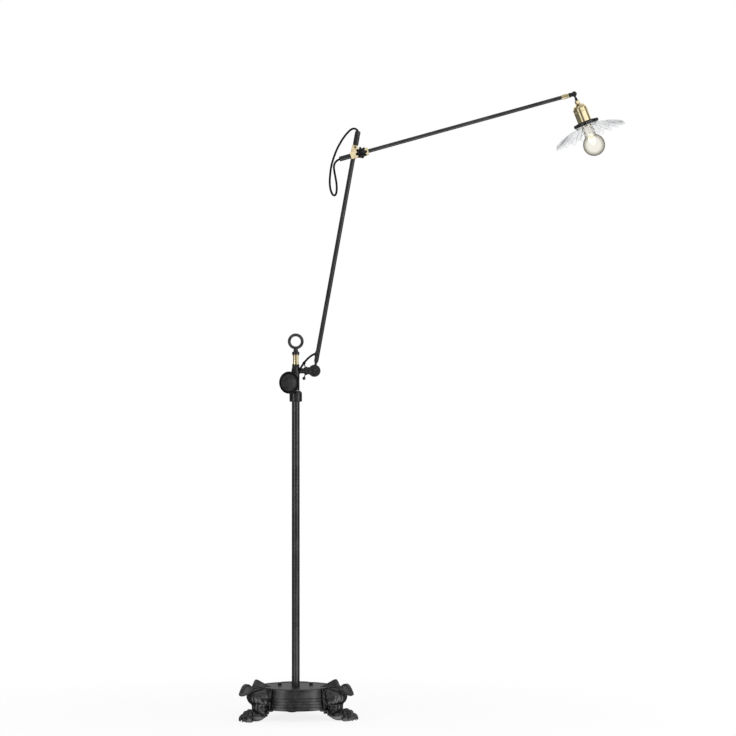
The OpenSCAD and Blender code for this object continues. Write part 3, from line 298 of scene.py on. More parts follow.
def arm_frame():
    """The upper arm's own frame at the clamp: Z runs out along the arm, Y to the rear."""
    along = Vector((math.cos(ARM_RISE), 0.0, math.sin(ARM_RISE)))
    rear = Vector((0.0, 1.0, 0.0))
    turn = Matrix((rear.cross(along), rear, along)).transposed().to_4x4()
    place = Vector((CLAMP_PIVOT.x, HEAD_PIVOT.y, CLAMP_PIVOT.z))
    return Matrix.Translation(place) @ turn


def revolve(bm, profile, segments):
    """Turns a closed outline of (radius, height) points round Z, with a single pole on the axis."""
    rings = []
    for radius, height in profile:
        if radius < 1e-7:
            rings.append([bm.verts.new((0.0, 0.0, height))])
            continue
        ring = [bm.verts.new((radius * math.cos(math.tau * k / segments),
                              radius * math.sin(math.tau * k / segments), height))
                for k in range(segments)]
        rings.append(ring)
    for low, high in zip(rings, rings[1:]):
        join_rings(bm, low, high)
    if len(rings[0]) > 1 and len(rings[-1]) > 1:
        join_rings(bm, rings[-1], rings[0])


def join_rings(bm, low, high):
    """Faces between two rings of points, either of which may be a single pole."""
    count = max(len(low), len(high))
    for k in range(count):
        n = (k + 1) % count
        if len(low) == 1 and len(high) == 1:
            return
        if len(low) == 1:
            bm.faces.new((low[0], high[k], high[n]))
        elif len(high) == 1:
            bm.faces.new((low[k], low[n], high[0]))
        else:
            bm.faces.new((low[k], low[n], high[n], high[k]))


def arc(centre, radius, start, end, count):
    """Points of (radius, height) on an arc, with its angles in degrees."""
    points = []
    for i in range(count + 1):
        angle = math.radians(start + (end - start) * i / count)
        points.append((centre[0] + radius * math.cos(angle), centre[1] + radius * math.sin(angle)))
    return points


def joined(name, meshes):
    """One object of several meshes, each given with its place."""
    bm = bmesh.new()
    for mesh, place in meshes:
        before = len(bm.verts)
        bm.from_mesh(mesh)
        bm.verts.ensure_lookup_table()
        bmesh.ops.transform(bm, matrix=place, verts=bm.verts[before:])
    return piece_from(bm, name)


def turned_mesh(name, profile, segments):
    """A mesh turned round Z from a closed outline."""
    bm = bmesh.new()
    revolve(bm, profile, segments)
    bmesh.ops.recalc_face_normals(bm, faces=bm.faces)
    mesh = bpy.data.meshes.new(name)
    bm.to_mesh(mesh)
    bm.free()
    return mesh


def face_outwards(piece):
    """Recalculates a closed mesh's normals and shades it smooth."""
    bm = bmesh.new()
    bm.from_mesh(piece.data)
    bmesh.ops.remove_doubles(bm, verts=bm.verts, dist=1e-7)
    bmesh.ops.recalc_face_normals(bm, faces=bm.faces)
    bm.to_mesh(piece.data)
    bm.free()
    for polygon in piece.data.polygons:
        polygon.use_smooth = True


# Geometry node helpers

class Tree:
    """A short way to write a node tree: each call adds one node and wires its inputs."""

    def __init__(self, tree):
        self.tree = tree

    def add(self, kind, inputs=None, **settings):
        node = self.tree.nodes.new(kind)
        for key, value in settings.items():
            setattr(node, key, value)
        return self.wire(node, inputs or {})

    def wire(self, node, inputs):
        for key, value in inputs.items():
            self.feed(node.inputs[key], value)
        return node

    def feed(self, socket, value):
        if isinstance(value, bpy.types.NodeSocket):
            self.tree.links.new(value, socket)
        elif isinstance(value, bpy.types.Node):
            self.tree.links.new(value.outputs[0], socket)
        else:
            socket.default_value = value

    def math(self, operation, *values):
        inputs = dict(enumerate(values))
        return self.add("ShaderNodeMath", inputs, operation=operation).outputs[0]


def geometry_tree(name, inputs):
    """A new geometry node group with named inputs, given as (name, socket kind, default)."""
    tree = bpy.data.node_groups.new(name, "GeometryNodeTree")
    tree.interface.new_socket("Geometry", in_out="OUTPUT", socket_type="NodeSocketGeometry")
    for label, kind, default in inputs:
        socket = tree.interface.new_socket(label, in_out="INPUT", socket_type=kind)
        if default is not None:
            socket.default_value = default
    maker = Tree(tree)
    return maker, maker.add("NodeGroupInput").outputs


def close_tree(maker, geometry, material):
    """Ends a geometry tree in Realize Instances and Set Material."""
    real = maker.add("GeometryNodeRealizeInstances", {"Geometry": geometry})
    finish = maker.add("GeometryNodeSetMaterial", {"Geometry": real, "Material": material})
    maker.add("NodeGroupOutput", {0: finish.outputs[0]})


def grown(name, tree, values):
    """Runs a geometry tree once, its inputs set by identifier, and keeps the plain mesh."""
    piece = bpy.data.objects.new(name, bpy.data.meshes.new(name))
    bpy.context.scene.collection.objects.link(piece)
    modifier = piece.modifiers.new(tree.name, "NODES")
    modifier.node_group = tree
    for item in tree.interface.items_tree:
        if item.item_type == "SOCKET" and item.in_out == "INPUT" and item.name in values:
            modifier[item.identifier] = values[item.name]
    return baked(piece)


# Shader groups

def shader_group(name, inputs, outputs):
    """A new shader node group. Its sockets are given as (name, socket kind, default)."""
    tree = bpy.data.node_groups.new(name, "ShaderNodeTree")
    for label, kind, default in inputs:
        socket = tree.interface.new_socket(label, in_out="INPUT", socket_type=kind)
        if default is not None:
            socket.default_value = default
    for label, kind in outputs:
        tree.interface.new_socket(label, in_out="OUTPUT", socket_type=kind)
    maker = Tree(tree)
    return maker, maker.add("NodeGroupInput").outputs


def rounded_edges_group():
    """Normals that round a hard edge, and a mask of where such an edge is rubbed."""
    name = "Rounded Edges"
    if name in bpy.data.node_groups:
        return bpy.data.node_groups[name]
    maker, given = shader_group(name, [("Vector", "NodeSocketVector", None),
                                       ("Radius", "NodeSocketFloat", 0.0005),
                                       ("Wear", "NodeSocketFloat", 0.5)],
                                [("Normal", "NodeSocketVector"), ("Mask", "NodeSocketFloat")])
    bevel = maker.add("ShaderNodeBevel", {"Radius": given["Radius"]}, samples=6)
    wider = maker.math("MULTIPLY", given["Radius"], 1.8)
    wide = maker.add("ShaderNodeBevel", {"Radius": wider}, samples=6)
    surface = maker.add("ShaderNodeNewGeometry")
    dot = maker.add("ShaderNodeVectorMath", {0: wide.outputs[0], 1: surface.outputs["Normal"]},
                    operation="DOT_PRODUCT")
    bent = maker.math("SUBTRACT", 1.0, dot.outputs["Value"])
    edge = ranged(maker, bent, 0.0, 1.0, 0.01, 0.16)
    patches = maker.add("ShaderNodeTexNoise", {"Vector": given["Vector"], "Scale": 140.0,
                                               "Detail": 5.0, "Roughness": 0.6})
    broken = ranged(maker, patches.outputs["Fac"], 0.0, 1.0, 0.42, 0.6)
    worn = maker.math("MULTIPLY", maker.math("MULTIPLY", edge, broken), given["Wear"])
    maker.add("NodeGroupOutput", {"Normal": bevel.outputs[0], "Mask": worn})
    return maker.tree


def cast_skin_group():
    """The grain of a sand casting: a fine pebble, broad unevenness and a few pits."""
    name = "Cast Skin"
    if name in bpy.data.node_groups:
        return bpy.data.node_groups[name]
    maker, given = shader_group(name, [("Vector", "NodeSocketVector", None),
                                       ("Grain", "NodeSocketFloat", 900.0)],
                                [("Height", "NodeSocketFloat"), ("Mottle", "NodeSocketFloat")])
    fine = maker.add("ShaderNodeTexNoise", {"Vector": given["Vector"], "Scale": given["Grain"],
                                            "Detail": 4.0, "Roughness": 0.55})
    broad = maker.add("ShaderNodeTexNoise", {"Vector": given["Vector"], "Detail": 3.0,
                                             "Scale": maker.math("MULTIPLY", given["Grain"], 0.12)})
    coarse = maker.math("MULTIPLY", given["Grain"], 0.33)
    cells = maker.add("ShaderNodeTexVoronoi", {"Vector": given["Vector"], "Scale": coarse})
    pits = ranged(maker, cells.outputs["Distance"], -0.6, 0.0, 0.0, 0.22)
    rough = maker.math("MULTIPLY_ADD", broad.outputs["Fac"], 1.6, fine.outputs["Fac"])
    height = maker.math("ADD", rough, pits)
    maker.add("NodeGroupOutput", {"Height": height, "Mottle": broad.outputs["Fac"]})
    return maker.tree


def rub_group():
    """Cloudy marks, a long swell and fine lines along Z, as handling and polishing leave them."""
    name = "Rub Marks"
    if name in bpy.data.node_groups:
        return bpy.data.node_groups[name]
    maker, given = shader_group(name, [("Vector", "NodeSocketVector", None),
                                       ("Scale", "NodeSocketFloat", 40.0)],
                                [("Cloud", "NodeSocketFloat"), ("Lines", "NodeSocketFloat"),
                                 ("Swell", "NodeSocketFloat")])
    cloud = maker.add("ShaderNodeTexNoise", {"Vector": given["Vector"], "Scale": given["Scale"],
                                             "Detail": 6.0, "Roughness": 0.62})
    stretched = maker.add("ShaderNodeVectorMath", {0: given["Vector"], 1: (1.0, 1.0, 0.04)},
                          operation="MULTIPLY")
    lines = maker.add("ShaderNodeTexNoise", {"Vector": stretched.outputs[0], "Detail": 3.0,
                                             "Scale": maker.math("MULTIPLY", given["Scale"], 30.0)})
    swell = maker.add("ShaderNodeTexNoise", {"Vector": given["Vector"], "Detail": 0.0,
                                             "Scale": maker.math("MULTIPLY", given["Scale"], 0.7)})
    maker.add("NodeGroupOutput", {"Cloud": cloud.outputs["Fac"], "Lines": lines.outputs["Fac"],
                                  "Swell": swell.outputs["Fac"]})
    return maker.tree


def braid_group():
    """A round braid in a cord's own map: X runs along it in diameters, Y once round it."""
    name = "Round Braid"
    if name in bpy.data.node_groups:
        return bpy.data.node_groups[name]
    maker, given = shader_group(name, [("Vector", "NodeSocketVector", None),
                                       ("Strands", "NodeSocketFloat", 12.0),
                                       ("Pitch", "NodeSocketFloat", 2.0)],
                                [("Height", "NodeSocketFloat"), ("Thread", "NodeSocketFloat")])
    place = maker.add("ShaderNodeSeparateXYZ", {0: given["Vector"]})
    along = maker.math("MULTIPLY", place.outputs[0], given["Pitch"])
    around = maker.math("MULTIPLY", place.outputs[1], given["Strands"])
    hands = []
    for sense in ("ADD", "SUBTRACT"):
        phase = maker.math(sense, around, along)
        wave = maker.math("ABSOLUTE", maker.math("SINE", maker.math("MULTIPLY", phase, math.pi)))
        cell = maker.math("FLOOR", phase)
        hands.append((wave, cell, phase))
    both = maker.math("ADD", hands[0][2], hands[1][2])
    weave = maker.math("SINE", maker.math("MULTIPLY", both, math.pi))
    over = ranged(maker, weave, 0.0, 1.0, -0.3, 0.3)
    height = maker.add("ShaderNodeMix", {"Factor": over, "A": hands[0][0], "B": hands[1][0]})
    cells = maker.add("ShaderNodeCombineXYZ", {0: hands[0][1], 1: hands[1][1]})
    tone = maker.add("ShaderNodeTexWhiteNoise", {"Vector": cells.outputs[0]}, noise_dimensions="2D")
    maker.add("NodeGroupOutput", {"Height": height.outputs[0], "Thread": tone.outputs["Value"]})
    return maker.tree


# Materials

def new_material(name):
    """A material with a Principled surface and the object's own coordinates."""
    material = bpy.data.materials.new(name)
    material.use_nodes = True
    material.node_tree.nodes.clear()
    maker = Tree(material.node_tree)
    surface = maker.add("ShaderNodeBsdfPrincipled")
    maker.add("ShaderNodeOutputMaterial", {"Surface": surface.outputs[0]})
    where = maker.add("ShaderNodeTexCoord").outputs["Object"]
    return material, maker, surface, where


def rounded_edges(maker, where, radius, wear):
    return maker.add("ShaderNodeGroup", {"Vector": where, "Radius": radius, "Wear": wear},
                     node_tree=rounded_edges_group())


def cast_skin(maker, where, grain):
    return maker.add("ShaderNodeGroup", {"Vector": where, "Grain": grain},
                     node_tree=cast_skin_group())


def rub_marks(maker, where, scale):
    return maker.add("ShaderNodeGroup", {"Vector": where, "Scale": scale}, node_tree=rub_group())


def mix_colour(maker, factor, a, b):
    """A colour between two others, with the factor from a mask."""
    node = maker.add("ShaderNodeMix", {0: factor, 6: a, 7: b}, data_type="RGBA")
    return node.outputs[2]


def rgba(colour):
    return (colour[0], colour[1], colour[2], 1.0)


def ranged(maker, value, low, high, from_min=0.3, from_max=0.7, **settings):
    """Turns a value that runs from from_min to from_max into one that runs from low to high."""
    inputs = {"Value": value, "From Min": from_min, "From Max": from_max, "To Min": low,
              "To Max": high}
    return maker.add("ShaderNodeMapRange", inputs, **settings).outputs[0]


def eased_range(maker, value, *limits):
    """As ranged, with a smooth start and end."""
    return ranged(maker, value, *limits, interpolation_type="SMOOTHSTEP")


def two_tones(maker, mask, colour, dark, light):
    """A colour between two shares of another, by a mask."""
    return mix_colour(maker, mask, rgba([c * dark for c in colour]),
                      rgba([c * light for c in colour]))


def raised(maker, height, strength, distance, normal=None):
    """A normal that a height bends, over another normal where one is given."""
    inputs = {"Height": height, "Strength": strength, "Distance": distance}
    if normal:
        inputs["Normal"] = normal
    return maker.add("ShaderNodeBump", inputs).outputs[0]


def cast_iron_finish(settings, name="cast_iron", level=1.0, pebble=0.22):
    """Blackened cast iron: a pebbled skin, uneven tone and edges rubbed grey."""
    material, maker, surface, where = new_material(name)
    skin = cast_skin(maker, where, 560.0)
    edges = rounded_edges(maker, where, settings.edge * 1.6, 0.5)
    mottle = skin.outputs["Mottle"]
    tone = two_tones(maker, ranged(maker, mottle, 0.0, 1.0), settings.cast, 0.7 * level,
                     1.35 * level)
    maker.wire(surface, {
        "Base Color": mix_colour(maker, edges.outputs["Mask"], tone, rgba(settings.bare)),
        "Roughness": ranged(maker, mottle, 0.26, 0.38),
        "Metallic": 0.93,
        "Specular Tint": rgba(settings.rim),
        "Normal": raised(maker, skin.outputs["Height"], pebble, 0.00025, edges.outputs["Normal"]),
    })
    return material


def black_iron_finish(settings, name="black_iron", level=1.0, rounded=True):
    """Satin black over drawn steel, with soft cloudy rubbing and no grain."""
    material, maker, surface, where = new_material(name)
    rub = rub_marks(maker, where, 26.0)
    cloud = rub.outputs["Cloud"]
    tone = two_tones(maker, ranged(maker, cloud, 0.0, 1.0), settings.iron, 0.75 * level,
                     1.35 * level)
    normal = None
    if rounded:
        edges = rounded_edges(maker, where, settings.edge, 0.3)
        tone = mix_colour(maker, edges.outputs["Mask"], tone, rgba(settings.bare))
        normal = edges.outputs["Normal"]
    maker.wire(surface, {
        "Base Color": tone,
        "Roughness": maker.math("MULTIPLY_ADD", rub.outputs["Lines"], 0.05,
                                ranged(maker, cloud, 0.15, 0.24)),
        "Metallic": 0.86,
        "Specular Tint": rgba(settings.rim),
        "Normal": raised(maker, rub.outputs["Swell"], 0.05, 0.0004, normal),
    })
    return material


def wheel_finish(settings):
    """The lock wheel's face: mottled cast grey, with a painted shade that darkens it to near black
    towards its rim, where it is also smoother.
    """
    material, maker, surface, where = new_material("wheel_iron")
    low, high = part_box("lock_wheel")
    centre = (-WHEEL_REACH * math.sin(WHEEL_TURN), -WHEEL_REACH * math.cos(WHEEL_TURN),
              (low[2] + high[2]) / 2)
    spot = maker.add("ShaderNodeVectorMath", {0: where, 1: centre}, operation="SUBTRACT")
    away = maker.add("ShaderNodeVectorMath", {0: spot.outputs[0]},
                     operation="LENGTH").outputs["Value"]
    # Painted shade: the face darkens to near black towards the rim.
    rim = ranged(maker, away, 0.0, 1.0, *WHEEL_RIM_SHADE)
    skin = cast_skin(maker, where, 420.0)
    face = two_tones(maker, ranged(maker, skin.outputs["Mottle"], 0.0, 1.0), settings.cast, 0.5,
                     1.35)
    maker.wire(surface, {
        "Base Color": mix_colour(maker, rim, face, rgba([c * 0.25 for c in settings.iron])),
        "Roughness": maker.math("SUBTRACT", 0.46, maker.math("MULTIPLY", rim, 0.16)),
        "Metallic": 0.88,
        "Normal": raised(maker, skin.outputs["Height"], 0.25, 0.0003),
    })
    return material


def brass_finish(settings, name="brass", age=0.5, rounded=True):
    """Polished brass with tarnish in cloudy patches and bright worn edges."""
    material, maker, surface, where = new_material(name)
    rub = rub_marks(maker, where, 70.0)
    patches = ranged(maker, rub.outputs["Cloud"], 0.0, age, 0.50, 0.72)
    tone = mix_colour(maker, patches, rgba(settings.brass), rgba(settings.tarnish))
    dull = maker.math("MULTIPLY_ADD", patches, 0.22, 0.08)
    normal = None
    if rounded:
        edges = rounded_edges(maker, where, settings.edge, 1.0)
        tone = mix_colour(maker, edges.outputs["Mask"], tone,
                          rgba([min(1.0, c * 1.1) for c in settings.brass]))
        normal = edges.outputs["Normal"]
    maker.wire(surface, {
        "Base Color": tone,
        "Roughness": maker.math("MULTIPLY_ADD", rub.outputs["Lines"], 0.08, dull),
        "Metallic": 1.0,
        "Normal": raised(maker, rub.outputs["Swell"], 0.08, 0.0003, normal),
    })
    return material


def steel_finish(settings):
    """Turned steel with a fine lathe grain."""
    material, maker, surface, where = new_material("turned_steel")
    rub = rub_marks(maker, where, 60.0)
    edges = rounded_edges(maker, where, settings.edge, 0.0)
    maker.wire(surface, {
        "Base Color": mix_colour(maker, rub.outputs["Cloud"], rgba((0.42, 0.42, 0.41)),
                                 rgba((0.62, 0.61, 0.60))),
        "Roughness": ranged(maker, rub.outputs["Lines"], 0.22, 0.40),
        "Metallic": 1.0,
        "Normal": edges.outputs["Normal"],
    })
    return material


def plain_finish(name, dark, light, roughness, grain, bump_strength):
    """A non-metal with a fine grain: rubber, glazed ceramic or moulded nylon."""
    material, maker, surface, where = new_material(name)
    skin = cast_skin(maker, where, grain)
    mottle = skin.outputs["Mottle"]
    maker.wire(surface, {
        "Base Color": mix_colour(maker, ranged(maker, mottle, 0.0, 1.0), rgba(dark), rgba(light)),
        "Roughness": ranged(maker, mottle, roughness - 0.05, roughness + 0.05),
        "Normal": raised(maker, skin.outputs["Height"], bump_strength, 0.0002),
    })
    return material


# The braid's crossings for each diameter of a cord
BRAID_PITCH = 3.4
# Turns for each metre on the wires inside, which have no map of their own
INNER_BRAID = (0.0, 60.0, 180.0)


def cloth_finish(cord, name="braided_cloth", mapped=True):
    """Braided cotton: crossing strands, each a little lighter or darker, with a soft sheen and a
    painted shade in the hollows between the strands.
    """
    material, maker, surface, where = new_material(name)
    if mapped:
        where = maker.add("ShaderNodeUVMap", uv_map="CordMap").outputs[0]
    else:
        where = maker.add("ShaderNodeVectorMath", {0: where, 1: INNER_BRAID},
                          operation="MULTIPLY").outputs[0]
    braid = maker.add("ShaderNodeGroup", {"Vector": where, "Strands": float(cord.strands),
                                          "Pitch": BRAID_PITCH}, node_tree=braid_group())
    thread = braid.outputs["Thread"]
    dark = rgba([c * 0.55 for c in cord.colour])
    light = rgba([c * 2.0 for c in cord.colour])
    tone = mix_colour(maker, maker.math("MULTIPLY", thread, 0.7), dark, light)
    maker.wire(surface, {
        # Painted shade: darker where the braid's height is low, between the strands.
        "Base Color": mix_colour(maker, braid.outputs["Height"], dark, tone),
        "Roughness": ranged(maker, thread, 0.62, 0.78, 0.0, 1.0),
        "Sheen Weight": 0.02,
        "Specular IOR Level": 0.1,
        "Normal": raised(maker, braid.outputs["Height"], 0.7, 0.0004),
    })
    return material


def fluted_glass_finish(shade):
    """Clear pressed glass, with a painted shade: grey along each flute's sides and dark at its lip.
    """
    material, maker, surface, where = new_material("fluted_glass")
    mask = maker.add("ShaderNodeAttribute", attribute_name="flute")
    parts = maker.add("ShaderNodeSeparateXYZ", {0: mask.outputs["Vector"]})
    waves = maker.add("ShaderNodeTexNoise", {"Vector": where, "Scale": 60.0, "Detail": 2.0})
    # Painted shade: grey on each flute's steep sides, growing towards the rim, and a dark line at
    # the lip.
    painted_flute_shade = ranged(maker, maker.math("ABSOLUTE", parts.outputs[0]), 1.0, 0.0, 0.0, 0.95)
    deep = maker.math("MULTIPLY", painted_flute_shade, ranged(maker, parts.outputs[1], 0.35, 1.0, 0.0, 0.8))
    grey = maker.math("MULTIPLY", deep, ranged(maker, waves.outputs["Fac"], 0.6, 1.0))
    lip = ranged(maker, parts.outputs[1], 0.0, 0.7, 0.965, 0.985)
    maker.wire(surface, {
        "Base Color": mix_colour(maker, maker.math("MAXIMUM", grey, lip), rgba(shade.tint),
                                 rgba(shade.painted_flute_shade)),
        "Roughness": 0.0,
        "IOR": shade.bend,
        "Transmission Weight": 1.0,
        "Coat Weight": 0.25,
        "Normal": raised(maker, waves.outputs["Fac"], 0.05, 0.0004),
    })
    return material


def clear_glass_finish(name, centre, edge, bend):
    """Thin clear glass, with a painted shade that darkens it towards its outline, where its wall is
    seen edge on.
    """
    material, maker, surface, where = new_material(name)
    waves = maker.add("ShaderNodeTexNoise", {"Vector": where, "Scale": 40.0, "Detail": 1.0})
    facing = maker.add("ShaderNodeLayerWeight", {"Blend": 0.5}).outputs["Facing"]
    maker.wire(surface, {
        # Painted shade: darker towards the outline.
        "Base Color": mix_colour(maker, ranged(maker, facing, 0.0, 1.0, 0.18, 0.80), rgba(centre),
                                 rgba(edge)),
        "Roughness": 0.0,
        "IOR": bend,
        "Transmission Weight": 1.0,
        "Normal": raised(maker, waves.outputs["Fac"], 0.03, 0.0004),
    })
    return material


def glow_finish(bulb):
    """The lit filament, unevenly hot along each strand."""
    material, maker, surface, where = new_material("filament_glow")
    flicker = maker.add("ShaderNodeTexNoise", {"Vector": where, "Scale": 300.0, "Detail": 1.0})
    tone = mix_colour(maker, flicker.outputs["Fac"], rgba(bulb.glow_colour),
                      rgba((1.0, 0.93, 0.74)))
    maker.wire(surface, {"Base Color": tone, "Emission Color": tone, "Emission Strength": bulb.glow,
                         "Roughness": 0.5})
    return material


def dress(material, *names):
    """Gives CAD nodes a finish, in each of their material slots."""
    for name in names:
        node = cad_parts[name]
        if not node.material_slots:
            raise RuntimeError(f"{name} has no material slot")
        for place in node.material_slots:
            place.material = material


# Stage

WHITE = (1.0, 1.0, 1.0)
# The floor's colour for the light that it throws back
FLOOR_CLOTH = (0.8, 0.8, 0.8)
# Distances from the pole between which the floor stops taking a shadow
SHADOW_REACH = (0.35, 1.3)
# Each lamp's name, place, aim, width and height, and watts at the plain light level
STUDIO_LAMPS = [
    ("left_strip", (-2.15, -2.76, 1.36), (0.1, 0.0, 1.0), (0.80, 2.6), 40.6),
    ("right_strip", (2.75, -2.10, 1.36), (0.1, 0.0, 1.0), (0.60, 2.6), 36.4),
    ("front_fill", (1.75, -3.70, 2.35), (0.5, 0.0, 1.3), (1.1, 1.1), 23.8),
    ("top_lamp", (0.3, -0.5, 3.7), (0.3, 0.0, 1.0), (2.2, 1.5), 32.2),
    ("rear_left", (-2.4, 2.6, 2.5), (0.2, 0.0, 1.0), (1.6, 1.4), 23.8),
    ("rear_right", (2.6, 2.6, 2.5), (0.2, 0.0, 1.0), (1.6, 1.4), 23.8),
]
# Each panel that metal sees: compass angle, half width, strength at the horizon and above it
PANELS = [(-41.0, 15.0, 3.2, 0.5), (60.0, 17.0, 2.8, 0.8), (-140.0, 16.0, 1.0, 1.0),
          (140.0, 16.0, 1.0, 1.0)]
# The rises of a ray between which a panel's strength changes
HORIZON = (0.01, 0.05)
# The front panel: compass angle, half width and strength before its cap; its lean; and its cap
FRONT_PANEL = (14.0, 34.0, 3.0)
FRONT_LEAN = 1.2
FRONT_LEVEL = 1.05
# The painted pale apron and the two painted pools of light that metal sees on the floor: compass
# angle and half width
APRON = (28.0, 45.0)
POOLS = [(-38.0, 17.0), (54.0, 19.0)]
# What the pools' strength is made up of: from, to, and the distances between which it changes
POOL_LEVELS = [(1.8, 0.3, 1.1, 1.9), (0.0, 0.6, 5.0, 7.5), (0.0, 3.0, 8.0, 16.0)]


def aim(thing, target):
    thing.rotation_euler = (Vector(target) - thing.location).to_track_quat("-Z", "Y").to_euler()


def add_lamp(name, place, target, size, watts):
    light = bpy.data.lights.new(name, "AREA")
    light.shape = "RECTANGLE"
    light.size, light.size_y = size
    light.energy = watts
    lamp = bpy.data.objects.new(name, light)
    lamp.location = place
    bpy.context.scene.collection.objects.link(lamp)
    aim(lamp, target)
    lamp.visible_camera = False
    lamp.visible_glossy = False
    lamp.visible_transmission = False


def panel_round(maker, angle, middle, half, strength=1.0):
    """A soft upright panel about one compass angle, in degrees from the front."""
    away = maker.math("ABSOLUTE", maker.math("SUBTRACT", angle, math.radians(middle)))
    return eased_range(maker, away, strength, 0.0, 0.0, math.radians(half))


def sum_of(maker, values, operation="ADD"):
    total = values[0]
    for value in values[1:]:
        total = maker.math(operation, total, value)
    return total


def product_of(maker, values):
    return sum_of(maker, values, "MULTIPLY")


def compass(maker, spot):
    """The compass angle of a way or a place, from straight in front."""
    return maker.math("ARCTAN2", spot.outputs[0], maker.math("MULTIPLY", spot.outputs[1], -1.0))


def white_light(maker, strength, kind="ShaderNodeEmission"):
    return maker.add(kind, {"Color": rgba(WHITE), "Strength": strength}).outputs[0]


def clear_ray(path):
    """Says whether a ray comes from the camera or through glass."""
    return path.outputs["Is Camera Ray"], path.outputs["Is Transmission Ray"]


def glossy_studio(maker, way):
    """What metal sees all round: upright panels, a leaning front one, and a soft top and rear."""
    angle, depth, height = compass(maker, way), way.outputs[1], way.outputs[2]
    panels = sum_of(maker, [
        product_of(maker, [panel_round(maker, angle, middle, half), ranged(maker, height, low, high,
                                                                           *HORIZON)])
        for middle, half, low, high in PANELS])
    panels = product_of(maker, [panels, ranged(maker, height, 1.0, 0.0, 0.55, 0.9)])
    leant = maker.math("SUBTRACT", angle, maker.math("MULTIPLY", height, FRONT_LEAN))
    front = product_of(maker, [
        maker.math("MINIMUM", panel_round(maker, leant, *FRONT_PANEL), FRONT_LEVEL),
        ranged(maker, height, 0.0, 1.0, 0.02, 0.06), ranged(maker, height, 1.0, 0.0, 0.30, 0.50)])
    top = ranged(maker, height, 0.0, 0.40, 0.20, 0.80)
    rear = ranged(maker, depth, 0.10, 0.70, 0.20, 0.80)
    return sum_of(maker, [panels, front, top, rear])


def studio_world(ambient):
    """White to the camera and through glass, soft panels to metal, and a soft even light."""
    world = bpy.data.worlds.new("studio")
    bpy.context.scene.world = world
    world.use_nodes = True
    world.node_tree.nodes.clear()
    maker = Tree(world.node_tree)
    path = maker.add("ShaderNodeLightPath")
    way = maker.add("ShaderNodeSeparateXYZ",
                    {0: maker.add("ShaderNodeTexCoord").outputs["Generated"]})
    kind = "ShaderNodeBackground"
    white, soft = white_light(maker, 1.0, kind), white_light(maker, ambient, kind)
    glossy = white_light(maker, glossy_studio(maker, way), kind)
    clear = maker.math("MAXIMUM", *clear_ray(path))
    metal = maker.add("ShaderNodeMixShader", {0: path.outputs["Is Glossy Ray"], 1: soft, 2: glossy})
    final = maker.add("ShaderNodeMixShader", {0: clear, 1: metal.outputs[0], 2: white})
    maker.add("ShaderNodeOutputWorld", {"Surface": final.outputs[0]})


def floor_pools(maker, place, far):
    """What metal sees of the floor: dim, with a painted pale apron and two painted pools of light
    before the lamp.
    """
    angle = compass(maker, maker.add("ShaderNodeSeparateXYZ", {0: place}))
    near = ranged(maker, far, 0.20, 0.14, 2.5, 6.0)
    apron = product_of(maker, [ranged(maker, far, 0.0, 1.0, 0.7, 1.2), ranged(maker, far, 1.5, 0.0,
                                                                              1.8, 3.2),
                               panel_round(maker, angle, *APRON)])
    pools = sum_of(maker, [panel_round(maker, angle, *pool) for pool in POOLS])
    strength = sum_of(maker, [ranged(maker, far, *fall) for fall in POOL_LEVELS])
    return sum_of(maker, [near, apron, product_of(maker, [pools, strength])])


def floor_finish(shadow):
    """White to the camera and through glass, less a shadow; lit pools to metal; else pale."""
    material = bpy.data.materials.new("studio_floor")
    material.use_nodes = True
    material.node_tree.nodes.clear()
    maker = Tree(material.node_tree)
    path = maker.add("ShaderNodeLightPath")
    place = maker.add("ShaderNodeTexCoord").outputs["Object"]
    far = maker.add("ShaderNodeVectorMath", {0: place}, operation="LENGTH").outputs["Value"]
    reach = eased_range(maker, far, 0.0, 1.0, *SHADOW_REACH)
    glow = maker.math("MULTIPLY_ADD", reach, shadow, 1.0 - shadow)
    lit = maker.math("SUBTRACT", 1.0, glow)
    grey = maker.add("ShaderNodeCombineColor", {0: lit, 1: lit, 2: lit})
    shade = maker.add("ShaderNodeBsdfDiffuse", {"Color": grey.outputs[0]})
    shown = maker.add("ShaderNodeAddShader", {0: white_light(maker, glow), 1: shade.outputs[0]})
    pools = white_light(maker, floor_pools(maker, place, far))
    bounce = maker.add("ShaderNodeBsdfDiffuse", {"Color": rgba(FLOOR_CLOTH)})
    other = maker.add("ShaderNodeMixShader", {0: path.outputs["Is Glossy Ray"],
                                              1: bounce.outputs[0], 2: pools})
    clear = maker.math("MAXIMUM", *clear_ray(path))
    final = maker.add("ShaderNodeMixShader", {0: clear, 1: other.outputs[0], 2: shown.outputs[0]})
    maker.add("ShaderNodeOutputMaterial", {"Surface": final.outputs[0]})
    return material


class LAMP_OT_stage(bpy.types.Operator):
    """Lays the pale floor, hangs the studio lamps and sets the camera"""
    bl_idname = "lamp.stage"
    bl_label = "Stage"

    def execute(self, context):
        stage = context.scene.lamp_stage
        bm = bmesh.new()
        bmesh.ops.create_circle(bm, cap_ends=True, segments=96, radius=stage.floor_radius)
        floor = piece_from(bm, "studio_floor", smooth=False)
        painted(floor, floor_finish(stage.shadow_depth))
        studio_world(stage.ambient)
        for name, place, target, size, watts in STUDIO_LAMPS:
            add_lamp(name, place, target, size, watts * stage.lamp_level)
        camera = bpy.data.objects.new("camera", bpy.data.cameras.new("camera"))
        context.scene.collection.objects.link(camera)
        camera.location = (stage.camera_x, -stage.camera_distance, stage.camera_height)
        camera.rotation_euler = (math.pi / 2, 0.0, 0.0)
        camera.data.lens = stage.lens
        camera.data.sensor_width = 36.0
        camera.data.clip_end = 200.0
        context.scene.camera = camera
        context.scene.view_settings.view_transform = "Standard"
        return {"FINISHED"}


# Cords: the short one that jumps the elbow in two stretches, and the loop round the clamp in three.
# The routes repeat the frame's own points, in millimetres.

